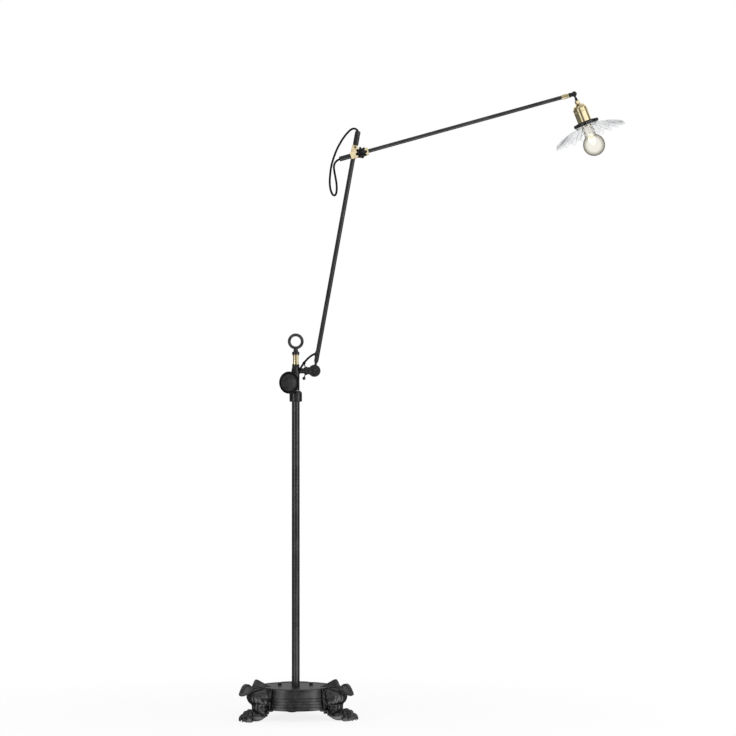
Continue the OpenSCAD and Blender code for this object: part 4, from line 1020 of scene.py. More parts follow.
JUMPER = [
    (3, -3, 937.2), (8, -8, 938.5), (13, -11, 943.5), (18, -11.5, 951), (23.5, -10.5, 959),
    (30, -8, 966.5), (34.5, -6, 971), (40, -3.5, 975.6), (46, -0.8, 979.6), (50, 0, 981.6),
    (55, 0, 983.8), (59.2, 0, 985.6),
]
# Points of the routes: where the first cord has all of its bend, where it is split, and where the
# loop's crest ends, where its hanging part has all of its bend, and where it is split
JUMPER_BEND = 2
JUMPER_SPLIT = 5
LOOP = [
    (164.9, 0, 1566), (166.6, 0, 1571.5), (168, 0, 1577), (167.8, -0.2, 1582), (165.2, -0.6,
                                                                                1586.4),
    (160.7, -1.2, 1589.2), (155.2, -2, 1589.8), (150.5, -2.8, 1588), (143, -4.2, 1581.8),
    (134, -6, 1571.5), (124, -8, 1557), (112.5, -10.5, 1536), (103, -12.5, 1512), (96, -14, 1487),
    (92.8, -14.5, 1462), (92, -14.8, 1441), (94.2, -17, 1424.5), (98.8, -22, 1412.5),
    (104.5, -29.5, 1408), (109, -37.5, 1412), (111, -41.5, 1423), (110.5, -40.5, 1438),
    (108, -36.5, 1454), (105, -31.5, 1470), (103.3, -26.5, 1483.5), (105.5, -22.3, 1494.5),
    (112, -19.8, 1502.5), (120.5, -19, 1506.8), (129.5, -19, 1509.3),
]
LOOP_CREST = 10
LOOP_BROW = 12
LOOP_SPLIT = 18


def spokes(across, side, count):
    """Directions all round a circle, from two of its own at right angles."""
    turns = [math.tau * k / count for k in range(count)]
    return [math.cos(turn) * across + math.sin(turn) * side for turn in turns]


def smooth_route(points, steps):
    """A rounded line through every point of a route, in metres."""
    route = [Vector(p) * MM for p in points]
    ends = [route[0] * 2 - route[1]] + route + [route[-1] * 2 - route[-2]]
    line = []
    for a, b, c, d in zip(ends, ends[1:], ends[2:], ends[3:]):
        for i in range(steps):
            t = i / steps
            line.append(0.5 * ((2 * b) + (c - a) * t + (2 * a - 5 * b + 4 * c - d) * t * t
                               + (3 * b - a - 3 * c + d) * t ** 3))
    return line + [route[-1]]


def cord_tube(name, line, radius, sides):
    """A closed round tube along a line, mapped in diameters along it and once round it."""
    bm = bmesh.new()
    layer = bm.loops.layers.uv.new("CordMap")
    ahead = (line[1] - line[0]).normalized()
    across = ahead.cross(Vector((0.0, 1.0, 0.0))).normalized()
    rings = []
    lengths = [0.0]
    for i, point in enumerate(line):
        ahead = (line[min(i + 1, len(line) - 1)] - line[max(i - 1, 0)]).normalized()
        across = (across - ahead * across.dot(ahead)).normalized()
        side = ahead.cross(across)
        around = spokes(across, side, sides)
        rings.append([bm.verts.new(point + radius * spoke) for spoke in around])
        if i:
            lengths.append(lengths[-1] + (point - line[i - 1]).length)
    for i in range(len(rings) - 1):
        for k in range(sides):
            n = (k + 1) % sides
            face = bm.faces.new((rings[i][k], rings[i + 1][k], rings[i + 1][n], rings[i][n]))
            corners = ((i, k), (i + 1, k), (i + 1, k + 1), (i, k + 1))
            for loop, (row, turn) in zip(face.loops, corners):
                loop[layer].uv = (lengths[row] / (2 * radius), turn / sides)
    bm.faces.new(rings[0])
    bm.faces.new(list(reversed(rings[-1])))
    return piece_from(bm, name), lengths[-1]


class LAMP_OT_cords(bpy.types.Operator):
    """Makes the cloth covered cords at the elbow and at the clamp"""
    bl_idname = "lamp.cords"
    bl_label = "Cords"

    def execute(self, context):
        cord = context.scene.lamp_cord
        cloth = cloth_finish(cord)
        jumper = smooth_route(JUMPER, cord.steps)
        loop = smooth_route(LOOP, cord.steps)
        bend, cut, crest, brow, turn = (n * cord.steps for n in (JUMPER_BEND, JUMPER_SPLIT,
                                                                 LOOP_CREST, LOOP_BROW, LOOP_SPLIT))
        stretches = [
            ("elbow_cord_lower", "elbow_cord_lower", jumper[:cut + 1], "swing_head", "elbow",
             jumper[bend]),
            ("elbow_cord_upper", "elbow_cord_upper", jumper[cut:], "elbow", "lower_arm",
             jumper[-1]),
            ("loop_cord_crest", "loop_cord_fall", loop[:crest + 1], "lower_arm", "upper_clamp",
             loop[crest]),
            ("loop_cord_fall", "loop_cord_fall", loop[crest:turn + 1], "upper_clamp", "upper_arm",
             loop[brow]),
            ("loop_cord_rise", "loop_cord_rise", loop[turn:], "upper_arm", None, None),
        ]
        for name, node, line, first, last, end in stretches:
            piece, length = cord_tube(name + "_braid", line, cord.diameter / 2, cord.sides)
            painted(piece, cloth)
            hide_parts(node)
            if last:
                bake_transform(piece)
            else:
                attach(piece, first)
        dress(cloth_finish(cord, "inner_cloth", mapped=False), "pole_wire", "lower_wire",
              "upper_wire")
        return {"FINISHED"}


# Claw feet. Their forms are in millimetres, with X out along the foot, until their skin is drawn.

# The inner leaf's section, as shares of its half width and of its rise: a tent with hollow sides
TENT = [(-1.0, 0.0), (-0.74, 0.13), (-0.46, 0.42), (-0.2, 0.88), (0.0, 1.0), (0.2, 0.88),
        (0.46, 0.42), (0.74, 0.13), (1.0, 0.0)]


def eased(low, high, value):
    """A smooth step from 0 at low to 1 at high."""
    t = min(1.0, max(0.0, (value - low) / (high - low)))
    return t * t * (3 - 2 * t)


def add_ball(bm, centre, radii, depth=None, detail=4):
    """An ellipsoid, whose lower half may have a depth of its own."""
    made = bmesh.ops.create_icosphere(bm, subdivisions=detail, radius=1.0)
    for vert in made["verts"]:
        x, y, z = vert.co
        high = depth if depth and z < 0 else radii[2]
        vert.co = Vector(centre) + Vector((x * radii[0], y * radii[1], z * high))


def add_block(bm, low, high, round_edge):
    """A block between two corners with rounded edges."""
    made = bmesh.ops.create_cube(bm, size=1.0)
    low, high = Vector(low), Vector(high)
    size = high - low
    place = Matrix.Translation((low + high) / 2) @ Matrix.Diagonal((*size, 1.0))
    bmesh.ops.transform(bm, matrix=place, verts=made["verts"])
    edges = {edge for vert in made["verts"] for edge in vert.link_edges}
    bmesh.ops.bevel(bm, geom=list(edges), offset=round_edge, segments=4, profile=0.5,
                    affect="EDGES")


def add_horn(bm, points, radii, sides=20):
    """A tapered tube through points in X and Z. Each radius is a pair: across, and in the plane."""
    across = Vector((0.0, 1.0, 0.0))
    rings = []
    for i, point in enumerate(points):
        a, b = points[max(i - 1, 0)], points[min(i + 1, len(points) - 1)]
        ahead = (Vector(b) - Vector(a)).normalized()
        up = ahead.cross(across).normalized()
        wide, high = radii[i]
        turns = [math.tau * k / sides for k in range(sides)]
        rings.append([bm.verts.new(Vector(point) + wide * math.cos(turn) * across
                                   + high * math.sin(turn) * up) for turn in turns])
    for low, high in zip(rings, rings[1:]):
        join_rings(bm, low, high)
    bm.faces.new(rings[0])
    bm.faces.new(list(reversed(rings[-1])))


def add_bead(bm, points, radii, sides=12):
    """A rounded ridge along a line of points, with a ball at each end."""
    line = [Vector(point) for point in points]
    rings = []
    for i, point in enumerate(line):
        ahead = (line[min(i + 1, len(line) - 1)] - line[max(i - 1, 0)]).normalized()
        side = ahead.cross(Vector((0.0, 1.0, 0.0))).normalized()
        other = side.cross(ahead)
        around = spokes(side, other, sides)
        rings.append([bm.verts.new(point + radii[i] * spoke) for spoke in around])
    for low, high in zip(rings, rings[1:]):
        join_rings(bm, low, high)
    bm.faces.new(rings[0])
    bm.faces.new(list(reversed(rings[-1])))
    for i in (0, -1):
        add_ball(bm, line[i], (radii[i], radii[i], radii[i]), detail=2)


def add_plate(bm, outline, side, half):
    """A flat plate between two sides, from its outline in X and Z."""
    near = [bm.verts.new((x, side - half, z)) for x, z in outline]
    far = [bm.verts.new((x, side + half, z)) for x, z in outline]
    join_rings(bm, near, far)
    bm.faces.new(near)
    bm.faces.new(list(reversed(far)))


def close_sheet(bm, top, low):
    """Faces on both sides and round the border of two matching grids of points."""
    rows, columns = len(top), len(top[0])
    for i in range(rows - 1):
        for j in range(columns - 1):
            bm.faces.new((top[i][j], top[i + 1][j], top[i + 1][j + 1], top[i][j + 1]))
            bm.faces.new((low[i][j], low[i][j + 1], low[i + 1][j + 1], low[i + 1][j]))
    for i in range(rows - 1):
        bm.faces.new((top[i][0], low[i][0], low[i + 1][0], top[i + 1][0]))
        bm.faces.new((top[i][-1], top[i + 1][-1], low[i + 1][-1], low[i][-1]))
    for j in range(columns - 1):
        bm.faces.new((top[0][j], top[0][j + 1], low[0][j + 1], low[0][j]))
        bm.faces.new((top[-1][j], low[-1][j], low[-1][j + 1], top[-1][j + 1]))


def copy_into(bm, other):
    """Adds another bmesh's faces and frees it."""
    mesh = bpy.data.meshes.new("part")
    other.to_mesh(mesh)
    other.free()
    bm.from_mesh(mesh)
    bpy.data.meshes.remove(mesh)


def add_toe(bm, foot, angle, length):
    """A toe with two high knuckles over its pad, and its short curved claw."""
    toe = bmesh.new()
    add_ball(toe, (28.0, 0.0, 21.0), (11.5, 6.6, 11.0))
    add_ball(toe, (39.5, 0.0, 16.0), (9.0, 6.4, 12.0))
    add_ball(toe, (45.5, 0.0, 9.6), (8.8, 7.0, 10.4))
    add_ball(toe, (40.0, 0.0, 4.5), (9.5, 6.6, 5.2))
    add_horn(toe, [(46.0, 0.0, 14.5), (50.5, 0.0, 14.2), (54.2, 0.0, 11.4), (56.8, 0.0, 7.2),
                   (58.2, 0.0, 2.6), (58.4, 0.0, 0.4)], [(4.4, 5.2), (4.3, 5.0), (3.7, 4.2),
                                                         (2.9, 3.3), (1.9, 2.1), (1.3, 1.3)])
    place = (Matrix.Translation((foot.ankle_x / MM, foot.paw_side / MM, 0.0))
             @ Matrix.Rotation(angle, 4, "Z") @ Matrix.Diagonal((length, 1.0, 1.0, 1.0)))
    bmesh.ops.transform(toe, matrix=place, verts=toe.verts)
    copy_into(bm, toe)


def add_pad(bm, drum_r, low, high):
    """The pad that lies against the drum's wall, wider at its top, with a bead down each side."""
    rows_out, rows_in = [], []
    for i in range(9):
        f = i / 8
        z = low + (high - low) * f
        spread = math.radians(16.0 + 3.6 * f)
        outer, inner = [], []
        for j in range(13):
            angle = spread * (j / 6 - 1)
            swell = 1.6 * math.cos(math.pi / 2 * (j / 6 - 1))
            for side, reach in ((outer, drum_r + 2.4 + swell), (inner, drum_r - 4.0)):
                side.append(bm.verts.new((reach * math.cos(angle), reach * math.sin(angle), z)))
        rows_out.append(outer)
        rows_in.append(inner)
    close_sheet(bm, rows_out, rows_in)
    for side in (-1, 1):
        line = []
        for i in range(7):
            angle = side * math.radians(15.8 + 3.6 * i / 6)
            line.append(((drum_r + 2.2) * math.cos(angle), (drum_r + 2.2) * math.sin(angle),
                         low + 1.5 + (high - low - 3.0) * i / 6))
        add_bead(bm, line, [2.0] * 7)


def add_crest(bm, drum_r, top, side):
    """The inner leaf: a folded ridge that rises over the drum's rim, with a beaded foot."""
    stations = [(-26.5, 2.2, 1.0, 1.4), (-19, 5.4, 3.4, 1.4), (-11, 9.2, 5.2, 1.4),
                (-3, 13.4, 6.8, 1.4), (3, 16.8, 7.6, -4), (11, 21.2, 8.2, -6), (17, 23.8, 8.4, -8),
                (22.5, 24.2, 8.4, -8), (26.5, 20.0, 8.2, -8), (30, 12.0, 7.8, -8),
                (33.5, 5.4, 7.2, -8)]
    rings, edges = [], {-1: [], 1: []}
    for x, ridge, half, low in stations:
        foot = min(2.4, ridge - 0.8)
        section = [(y, foot + z * (ridge - foot)) for y, z in TENT]
        section = [(-1.0, low)] + section + [(1.0, low)]
        rings.append([bm.verts.new((drum_r + x, side + y * half, top + z)) for y, z in section])
        for hand in (-1, 1):
            edges[hand].append((drum_r + x, side + hand * (half - 0.4), top + foot + 0.3))
    for low, high in zip(rings, rings[1:]):
        join_rings(bm, low, high)
    bm.faces.new(rings[0])
    bm.faces.new(list(reversed(rings[-1])))
    for hand in (-1, 1):
        add_bead(bm, edges[hand], [0.9, 1.1, 1.3, 1.5, 1.6, 1.7, 1.8, 1.8, 1.8, 1.8, 1.8])


def add_curl(bm, drum_r, top, side):
    """The outer leaf: a band that curls over and down to a tip, with scooped sides."""
    rim = [(32, -4), (38, 4.6), (45, 10.0), (52.5, 11.0), (58.6, 6.8), (64.2, -1.6), (69.2, -10.4),
           (72.6, -14.6)]
    wide = [(7.2, 3.2), (7.8, 2.7), (8.3, 2.4), (8.6, 2.3), (8.7, 2.3), (8.2, 2.2), (6.4, 2.1),
            (3.2, 1.9)]
    add_horn(bm, [(drum_r + x, side, top + z) for x, z in rim], wide)
    under = [(72.4, -15.0), (67.0, -17.6), (59.0, -16.8), (51.0, -13.6), (43.0, -10.0)]
    add_horn(bm, [(drum_r + x, side, top + z) for x, z in under],
             [(3.4, 1.9), (5.8, 2.2), (7.0, 2.4), (7.6, 2.8), (7.8, 3.4)])
    web = [(36, 0), (45, 9.0), (52, 10.0), (58, 5.6), (64, -3.4), (69.6, -12.6), (66.6, -16),
           (57, -15.4), (44, -9), (34, -8)]
    add_plate(bm, [(drum_r + x, top + z) for x, z in web], side, 4.6)


def foot_shape(foot):
    """All of one foot's overlapping forms."""
    bm = bmesh.new()
    ankle, drum_r, top = foot.ankle_x / MM, foot.drum_r / MM, foot.drum_top / MM
    paw, leaf = foot.paw_side / MM, foot.leaf_side / MM
    add_ball(bm, (ankle - 4.0, paw / 2, 65.0), (36.6, 36.2, 19.6), depth=27.0)
    add_ball(bm, (ankle - 10.0, 0.0, 70.0), (12.0, 33.0, 16.4), depth=26.0)
    add_block(bm, (drum_r - 3.0, leaf - 7.0, 76.0), (drum_r + 34.0, leaf + 7.0, top + 4.6), 2.5)
    add_ball(bm, (drum_r + 37.0, leaf, top - 3.5), (10.0, 9.0, 8.6))
    add_pad(bm, drum_r, 33.0, top + 0.6)
    leg = bmesh.new()
    revolve(leg, [(0.0, 12.0), (22.4, 12.0), (21.8, 22.0), (20.4, 28.0), (19.2, 34.0), (19.6, 41.0),
                  (22.0, 48.0), (26.0, 55.0), (24.0, 64.0), (0.0, 66.0)], 64)
    bmesh.ops.translate(leg, vec=(ankle, paw, 0.0), verts=leg.verts)
    copy_into(bm, leg)
    add_ball(bm, (ankle + 1.0, paw, 18.0), (22.0, 22.6, 12.0), depth=14.0)
    add_ball(bm, (ankle + 13.0, paw, 14.0), (25.0, 27.0, 15.0), depth=14.4)
    for i in range(foot.toes):
        place = (i - (foot.toes - 1) / 2) * foot.toe_spread
        add_toe(bm, foot, place, 0.93 + 0.09 * i / (foot.toes - 1))
    add_crest(bm, drum_r, top, leaf)
    add_curl(bm, drum_r, top, leaf)
    add_block(bm, (78.0, -11.0, 21.9), (ankle, 11.0, 27.9), 1.0)
    return bm


def carve_foot(foot, mesh):
    """Cuts the flutes, creases and veins, flattens the sole and fits the foot to the drum."""
    ankle, drum_r, top = foot.ankle_x / MM, foot.drum_r / MM, foot.drum_top / MM
    paw, leaf = foot.paw_side / MM, foot.leaf_side / MM
    depth, vein = foot.flute_depth / MM, foot.vein_depth / MM
    places = [vert.co / MM for vert in mesh.vertices]
    normals = [vert.normal.copy() for vert in mesh.vertices]
    for p, normal in zip(places, normals):
        out = Vector((p.x - ankle, p.y - paw, 0.0))
        far, turn = out.length, math.atan2(out.y, out.x)
        band = eased(27.5, 31.0, p.z) * (1.0 - eased(46.0, 60.0, p.z))
        if band > 0.0 and 12.0 < far < 33.0:
            lobe = abs(math.sin(foot.flutes / 2 * turn))
            p += out / far * band * depth * (0.45 * lobe - math.exp(-(lobe / 0.26) ** 2))
        if far < 27.0:
            p -= out / max(far, 1.0) * 1.5 * math.exp(-((p.z - 30.0) / 1.5) ** 2)
        if p.z < 32.0 and far > 22.0 and abs(turn) < (foot.toes / 2 + 0.1) * foot.toe_spread:
            lane = turn / foot.toe_spread + (0.5 if foot.toes % 2 else 0.0)
            gap = abs(lane - round(lane)) * foot.toe_spread * far
            p -= normal * 1.9 * math.exp(-(gap / 1.2) ** 2) * eased(22.0, 30.0,
                                                                    far) * (1.0 - eased(52.0, 56.0,
                                                                                        far))
        claw = math.exp(-((far - 50.5) / 1.1) ** 2) * eased(4.0, 8.0, p.z)
        if p.z < 24.0 and abs(turn) < math.radians(34.0):
            p -= normal * 0.7 * claw
        knee = Vector((p.x - ankle + 4.0, p.y - paw / 2, 0.0))
        belt = eased(40.0, 50.0, p.z) * (1.0 - eased(74.0, 84.0, p.z))
        if belt > 0.0 and 24.0 < knee.length < 40.0:
            petal = abs(math.sin(7 * math.atan2(knee.y, knee.x)))
            p += knee.normalized() * belt * (0.6 * petal - 0.6 * math.exp(-(petal / 0.3) ** 2))
        flank = abs(p.y - leaf)
        if p.z > top + 3.6 and p.x < drum_r + 33.0 and flank > 1.2:
            rise = eased(1.2, 3.2, flank) * eased(3.6, 6.0, p.z - top)
            wave = math.cos((p.x - 0.9 * (p.z - top)) * math.tau / 7.5)
            p.y += math.copysign(vein, p.y - leaf) * rise * wave
        reach = math.hypot(p.x, p.y)
        if 28.3 < p.z < top + 1.2 and reach < drum_r - 1.0:
            p.x *= (drum_r - 1.0) / reach
            p.y *= (drum_r - 1.0) / reach
        p.z = max(p.z, 0.0)
    mesh.vertices.foreach_set("co", [value * MM for p in places for value in p])
    mesh.update()


class LAMP_OT_claw_feet(bpy.types.Operator):
    """Models the three cast claw feet, with their leaves, fluted ankles, toes and claws"""
    bl_idname = "lamp.claw_feet"
    bl_label = "Claw Feet"

    def execute(self, context):
        foot = context.scene.lamp_foot
        iron = cast_iron_finish(context.scene.lamp_finish)
        bm = foot_shape(foot)
        bmesh.ops.scale(bm, vec=(MM, MM, MM), verts=bm.verts)
        first = piece_from(bm, "claw_foot_form")
        skin = first.modifiers.new("skin", "REMESH")
        skin.mode = "VOXEL"
        skin.voxel_size = foot.skin
        soften = first.modifiers.new("soften", "SMOOTH")
        soften.factor = 0.5
        soften.iterations = 3
        baked(first)
        carve_foot(foot, first.data)
        for name, angle in (("left", 210.0), ("right", 330.0), ("rear", 90.0)):
            piece = bpy.data.objects.new(f"claw_foot_{name}", first.data.copy())
            context.scene.collection.objects.link(piece)
            moved(piece, Matrix.Rotation(math.radians(angle) + foot.turn, 4, "Z"))
            sharp_over(piece, math.radians(180.0))
            painted(piece, iron)
            housed(piece, "stand", "cast_base", "claw_feet")
        bpy.data.objects.remove(first)
        dress(cast_iron_finish(context.scene.lamp_finish, "drum_iron", 1.0, 0.08), "base_drum")
        # The cover plate is a lighter copy of the cast iron: a painted sheen for the glancing shine
        # across the top of the base.
        dress(cast_iron_finish(context.scene.lamp_finish, "cover_iron", 1.9), "cover_plate")
        return {"FINISHED"}


# Metalwork that keeps its CAD shape

class LAMP_OT_ironwork(bpy.types.Operator):
    """Finishes the black pole, arms, swing head, elbow and fittings"""
    bl_idname = "lamp.ironwork"
    bl_label = "Ironwork"

    def execute(self, context):
        finish = context.scene.lamp_finish
        dress(black_iron_finish(finish), "base_bolts", "pole_collar", "swivel_body", "bell_hub",
              "lower_nut", "upper_nut", "wing_lever", "elbow_fork", "elbow_bolt", "elbow_nut",
              "elbow_eye", "lower_sleeve", "block_screws", "tail_sleeve", "shade_holder",
              "shade_screws")
        dress(black_iron_finish(finish, "black_tube", 1.3, rounded=False), "pole", "lower_tube",
              "upper_tube", "eye_ring")
        dress(black_iron_finish(finish, "black_knob", 0.55), "head_fork", "head_eye", "star_knob",
              "tilt_pin")
        dress(wheel_finish(finish), "lock_wheel")
        return {"FINISHED"}


class LAMP_OT_brasswork(bpy.types.Operator):
    """Finishes the brass spacer, clamp, ferrule, neck nut and lamp socket"""
    bl_idname = "lamp.brasswork"
    bl_label = "Brasswork"

    def execute(self, context):
        finish = context.scene.lamp_finish
        dress(brass_finish(finish), "rear_block", "front_block", "pivot_nut", "neck_nut")
        dress(brass_finish(finish, "spun_brass", 0.5, rounded=False), "bearing_bush",
              "brass_spacer", "arm_ferrule", "socket_cap", "socket_shell")
        dress(brass_finish(finish, "contact_brass", 0.25), "socket_contacts", "bulb_base")
        return {"FINISHED"}


class LAMP_OT_inner_parts(bpy.types.Operator):
    """Finishes the steel, rubber, ceramic and nylon pieces that mostly lie inside"""
    bl_idname = "lamp.inner_parts"
    bl_label = "Inner Parts"

    def execute(self, context):
        dress(steel_finish(context.scene.lamp_finish), "thrust_washer", "pole_locknut",
              "collar_screws", "spindle", "spindle_nut", "top_nipple", "roll_screw")
        dress(plain_finish("rubber", (0.018, 0.018, 0.018), (0.035, 0.034, 0.033), 0.62, 900.0,
                           0.3), "cord_bushing", "side_grommet")
        dress(plain_finish("ceramic", (0.78, 0.76, 0.70), (0.86, 0.84, 0.79), 0.18, 300.0, 0.04),
              "socket_insulator")
        dress(plain_finish("nylon", (0.70, 0.68, 0.62), (0.80, 0.78, 0.72), 0.42, 500.0, 0.08),
              "slide_liner")
        return {"FINISHED"}


# Star knob and thumbscrews

# The knob's underside and its stud's start from the upper arm's axis, and the star's lift
KNOB_SEAT = 0.0105
KNOB_STUD_START = 0.0055
STAR_LIFT = 0.002
# The thumbscrews' distance from the head's pivot, the holder's wall from the head's axis, the
# shank's depth in the wall and the head's gap before it
SCREW_PLACE = 0.0861
HOLDER_WALL = 0.0315
SHANK_DEPTH = 0.0052
SCREW_GAP = 0.0014

def star_tree(material):
    """A star: a circle whose radius dips between its points, filled and raised into a plate."""
    maker, given = geometry_tree("Star Plate", [
        ("Points", "NodeSocketInt", 8), ("Radius", "NodeSocketFloat", 0.015), ("Waist",
                                                                               "NodeSocketFloat",
                                                                               0.004),
        ("Thickness", "NodeSocketFloat", 0.008)])
    ring = maker.add("GeometryNodeMeshCircle", {"Vertices": 192, "Radius": 1.0}, fill_type="NGON")
    place = maker.add("GeometryNodeInputPosition").outputs[0]
    parts = maker.add("ShaderNodeSeparateXYZ", {0: place})
    angle = maker.math("ARCTAN2", parts.outputs[1], parts.outputs[0])
    turn = maker.math("MULTIPLY", angle, maker.math("MULTIPLY", given["Points"], 0.5))
    dip = maker.math("POWER", maker.math("ABSOLUTE", maker.math("SINE", turn)), 2.6)
    radius = maker.math("SUBTRACT", given["Radius"], maker.math("MULTIPLY", dip, given["Waist"]))
    spot = maker.add("ShaderNodeVectorMath", {0: place, "Scale": radius}, operation="SCALE")
    star = maker.add("GeometryNodeSetPosition", {"Geometry": ring, "Position": spot.outputs[0]})
    lift = maker.add("ShaderNodeCombineXYZ", {2: given["Thickness"]})
    raised = maker.add("GeometryNodeExtrudeMesh", {"Mesh": star, "Offset": lift,
                                                   "Offset Scale": 1.0, "Individual": False})
    under = maker.add("GeometryNodeFlipFaces", {"Mesh": star})
    whole = maker.add("GeometryNodeJoinGeometry")
    maker.feed(whole.inputs[0], raised.outputs[0])
    maker.feed(whole.inputs[0], under.outputs[0])
    welded = maker.add("GeometryNodeMergeByDistance", {"Geometry": whole, "Distance": 1e-6})
    close_tree(maker, welded, material)
    return maker.tree


def knurl_tree(material):
    """A thumbscrew's head: a drum with ribs set round it."""
    maker, given = geometry_tree("Knurled Head", [
        ("Radius", "NodeSocketFloat", 0.0036), ("Height", "NodeSocketFloat", 0.005),
        ("Ribs", "NodeSocketInt", 18), ("Rib Radius", "NodeSocketFloat", 0.0006)])
    half = maker.math("MULTIPLY", given["Height"], 0.5)
    lift = maker.add("ShaderNodeCombineXYZ", {2: half})
    drum = maker.add("GeometryNodeMeshCylinder", {"Vertices": 48, "Radius": given["Radius"],
                                                  "Depth": given["Height"]})
    ring = maker.add("GeometryNodeMeshCircle", {"Vertices": given["Ribs"],
                                                "Radius": given["Radius"]})
    tall = maker.math("MULTIPLY", given["Height"], 0.86)
    rib = maker.add("GeometryNodeMeshCylinder", {"Vertices": 10, "Radius": given["Rib Radius"],
                                                 "Depth": tall})
    ribs = maker.add("GeometryNodeInstanceOnPoints", {"Points": ring, "Instance": rib})
    whole = maker.add("GeometryNodeJoinGeometry")
    maker.feed(whole.inputs[0], drum.outputs[0])
    maker.feed(whole.inputs[0], ribs.outputs[0])
    stood = maker.add("GeometryNodeTransform", {"Geometry": whole, "Translation": lift})
    close_tree(maker, stood, material)
    return maker.tree


class LAMP_OT_star_knob(bpy.types.Operator):
    """Makes the star knob that locks the sliding upper arm"""
    bl_idname = "lamp.star_knob"
    bl_label = "Star Knob"

    def execute(self, context):
        knob = context.scene.lamp_knob
        iron = bpy.data.materials["black_knob"]
        star = grown("star_plate", star_tree(iron), {"Points": knob.points, "Radius": knob.radius,
                                                     "Waist": knob.waist,
                                                     "Thickness": knob.thickness})
        soften = star.modifiers.new("soften", "BEVEL")
        soften.width = 0.0009
        soften.segments = 3
        soften.limit_method = "ANGLE"
        soften.angle_limit = math.radians(50.0)
        baked(star)
        hub = turned_mesh("knob_hub", [(0.0, 0.0), (0.0070, 0.0), (0.0070, 0.0035), (0.0, 0.0035)],
                          48)
        dome = turned_mesh("knob_dome", [(0.0, 0.0)] + [(0.0098 * math.cos(a * math.pi / 16),
                                                         0.0022 * math.sin(a * math.pi / 16))
                                                        for a in range(9)], 48)
        stud = turned_mesh("knob_stud", [(0.0, 0.0), (0.003, 0.0), (0.003, 0.0083), (0.0, 0.0083)],
                           32)
        outward = arm_frame() @ Matrix.Rotation(math.pi / 2, 4, "X")
        up = Matrix.Translation
        piece = joined("star_knob_form", [
            (star.data, outward @ up((0.0, 0.0, KNOB_SEAT + STAR_LIFT))), (hub,
                                                                           outward
                                                                           @ up((0.0, 0.0,
                                                                                 KNOB_SEAT))),
            (dome, outward @ up((0.0, 0.0, KNOB_SEAT + STAR_LIFT + knob.thickness))),
            (stud, outward @ up((0.0, 0.0, KNOB_STUD_START)))])
        bpy.data.objects.remove(star)
        sharp_over(piece, math.radians(35.0))
        painted(piece, iron)
        housed(piece, "clamp_knob", "black_iron", "star_knob")
        return {"FINISHED"}


class LAMP_OT_thumbscrews(bpy.types.Operator):
    """Makes the three thumbscrews that hold the shade in its holder"""
    bl_idname = "lamp.thumbscrews"
    bl_label = "Thumbscrews"

    def execute(self, context):
        knob = context.scene.lamp_knob
        iron = bpy.data.materials["black_iron"]
        head = grown("screw_head", knurl_tree(iron), {"Radius": 0.0040, "Height": 0.0052,
                                                      "Ribs": knob.ribs, "Rib Radius": 0.0006})
        shank = turned_mesh("screw_shank", [(0.0, 0.0), (0.0019, 0.0), (0.0019, 0.0056),
                                            (0.0040, 0.0056), (0.0040, 0.0066), (0.0034, 0.0070),
                                            (0.0, 0.0070)], 32)
        meshes = []
        for i in range(3):
            spin = (Matrix.Rotation(math.radians(-90.0 + i * 120.0), 4, "Z")
                    @ Matrix.Rotation(math.pi / 2, 4, "Y"))
            place = head_frame() @ Matrix.Translation((0.0, 0.0, SCREW_PLACE)) @ spin
            for mesh, gap in ((shank, -SHANK_DEPTH), (head.data, SCREW_GAP)):
                meshes.append((mesh, place @ Matrix.Translation((0.0, 0.0, HOLDER_WALL + gap))))
        piece = joined("shade_screws_form", meshes)
        bpy.data.objects.remove(head)
        sharp_over(piece, math.radians(35.0))
        painted(piece, iron)
        housed(piece, "lamp_head", "black_iron", "shade_screws")
        return {"FINISHED"}


# Shade

# The share of the sheet's length that the smooth neck takes
SHADE_NECK_SHARE = 0.16
# How far the sheet lies inside the glass's outer radius at the neck and at the rim
NECK_INSET = 0.0013
RIM_INSET = 0.0012


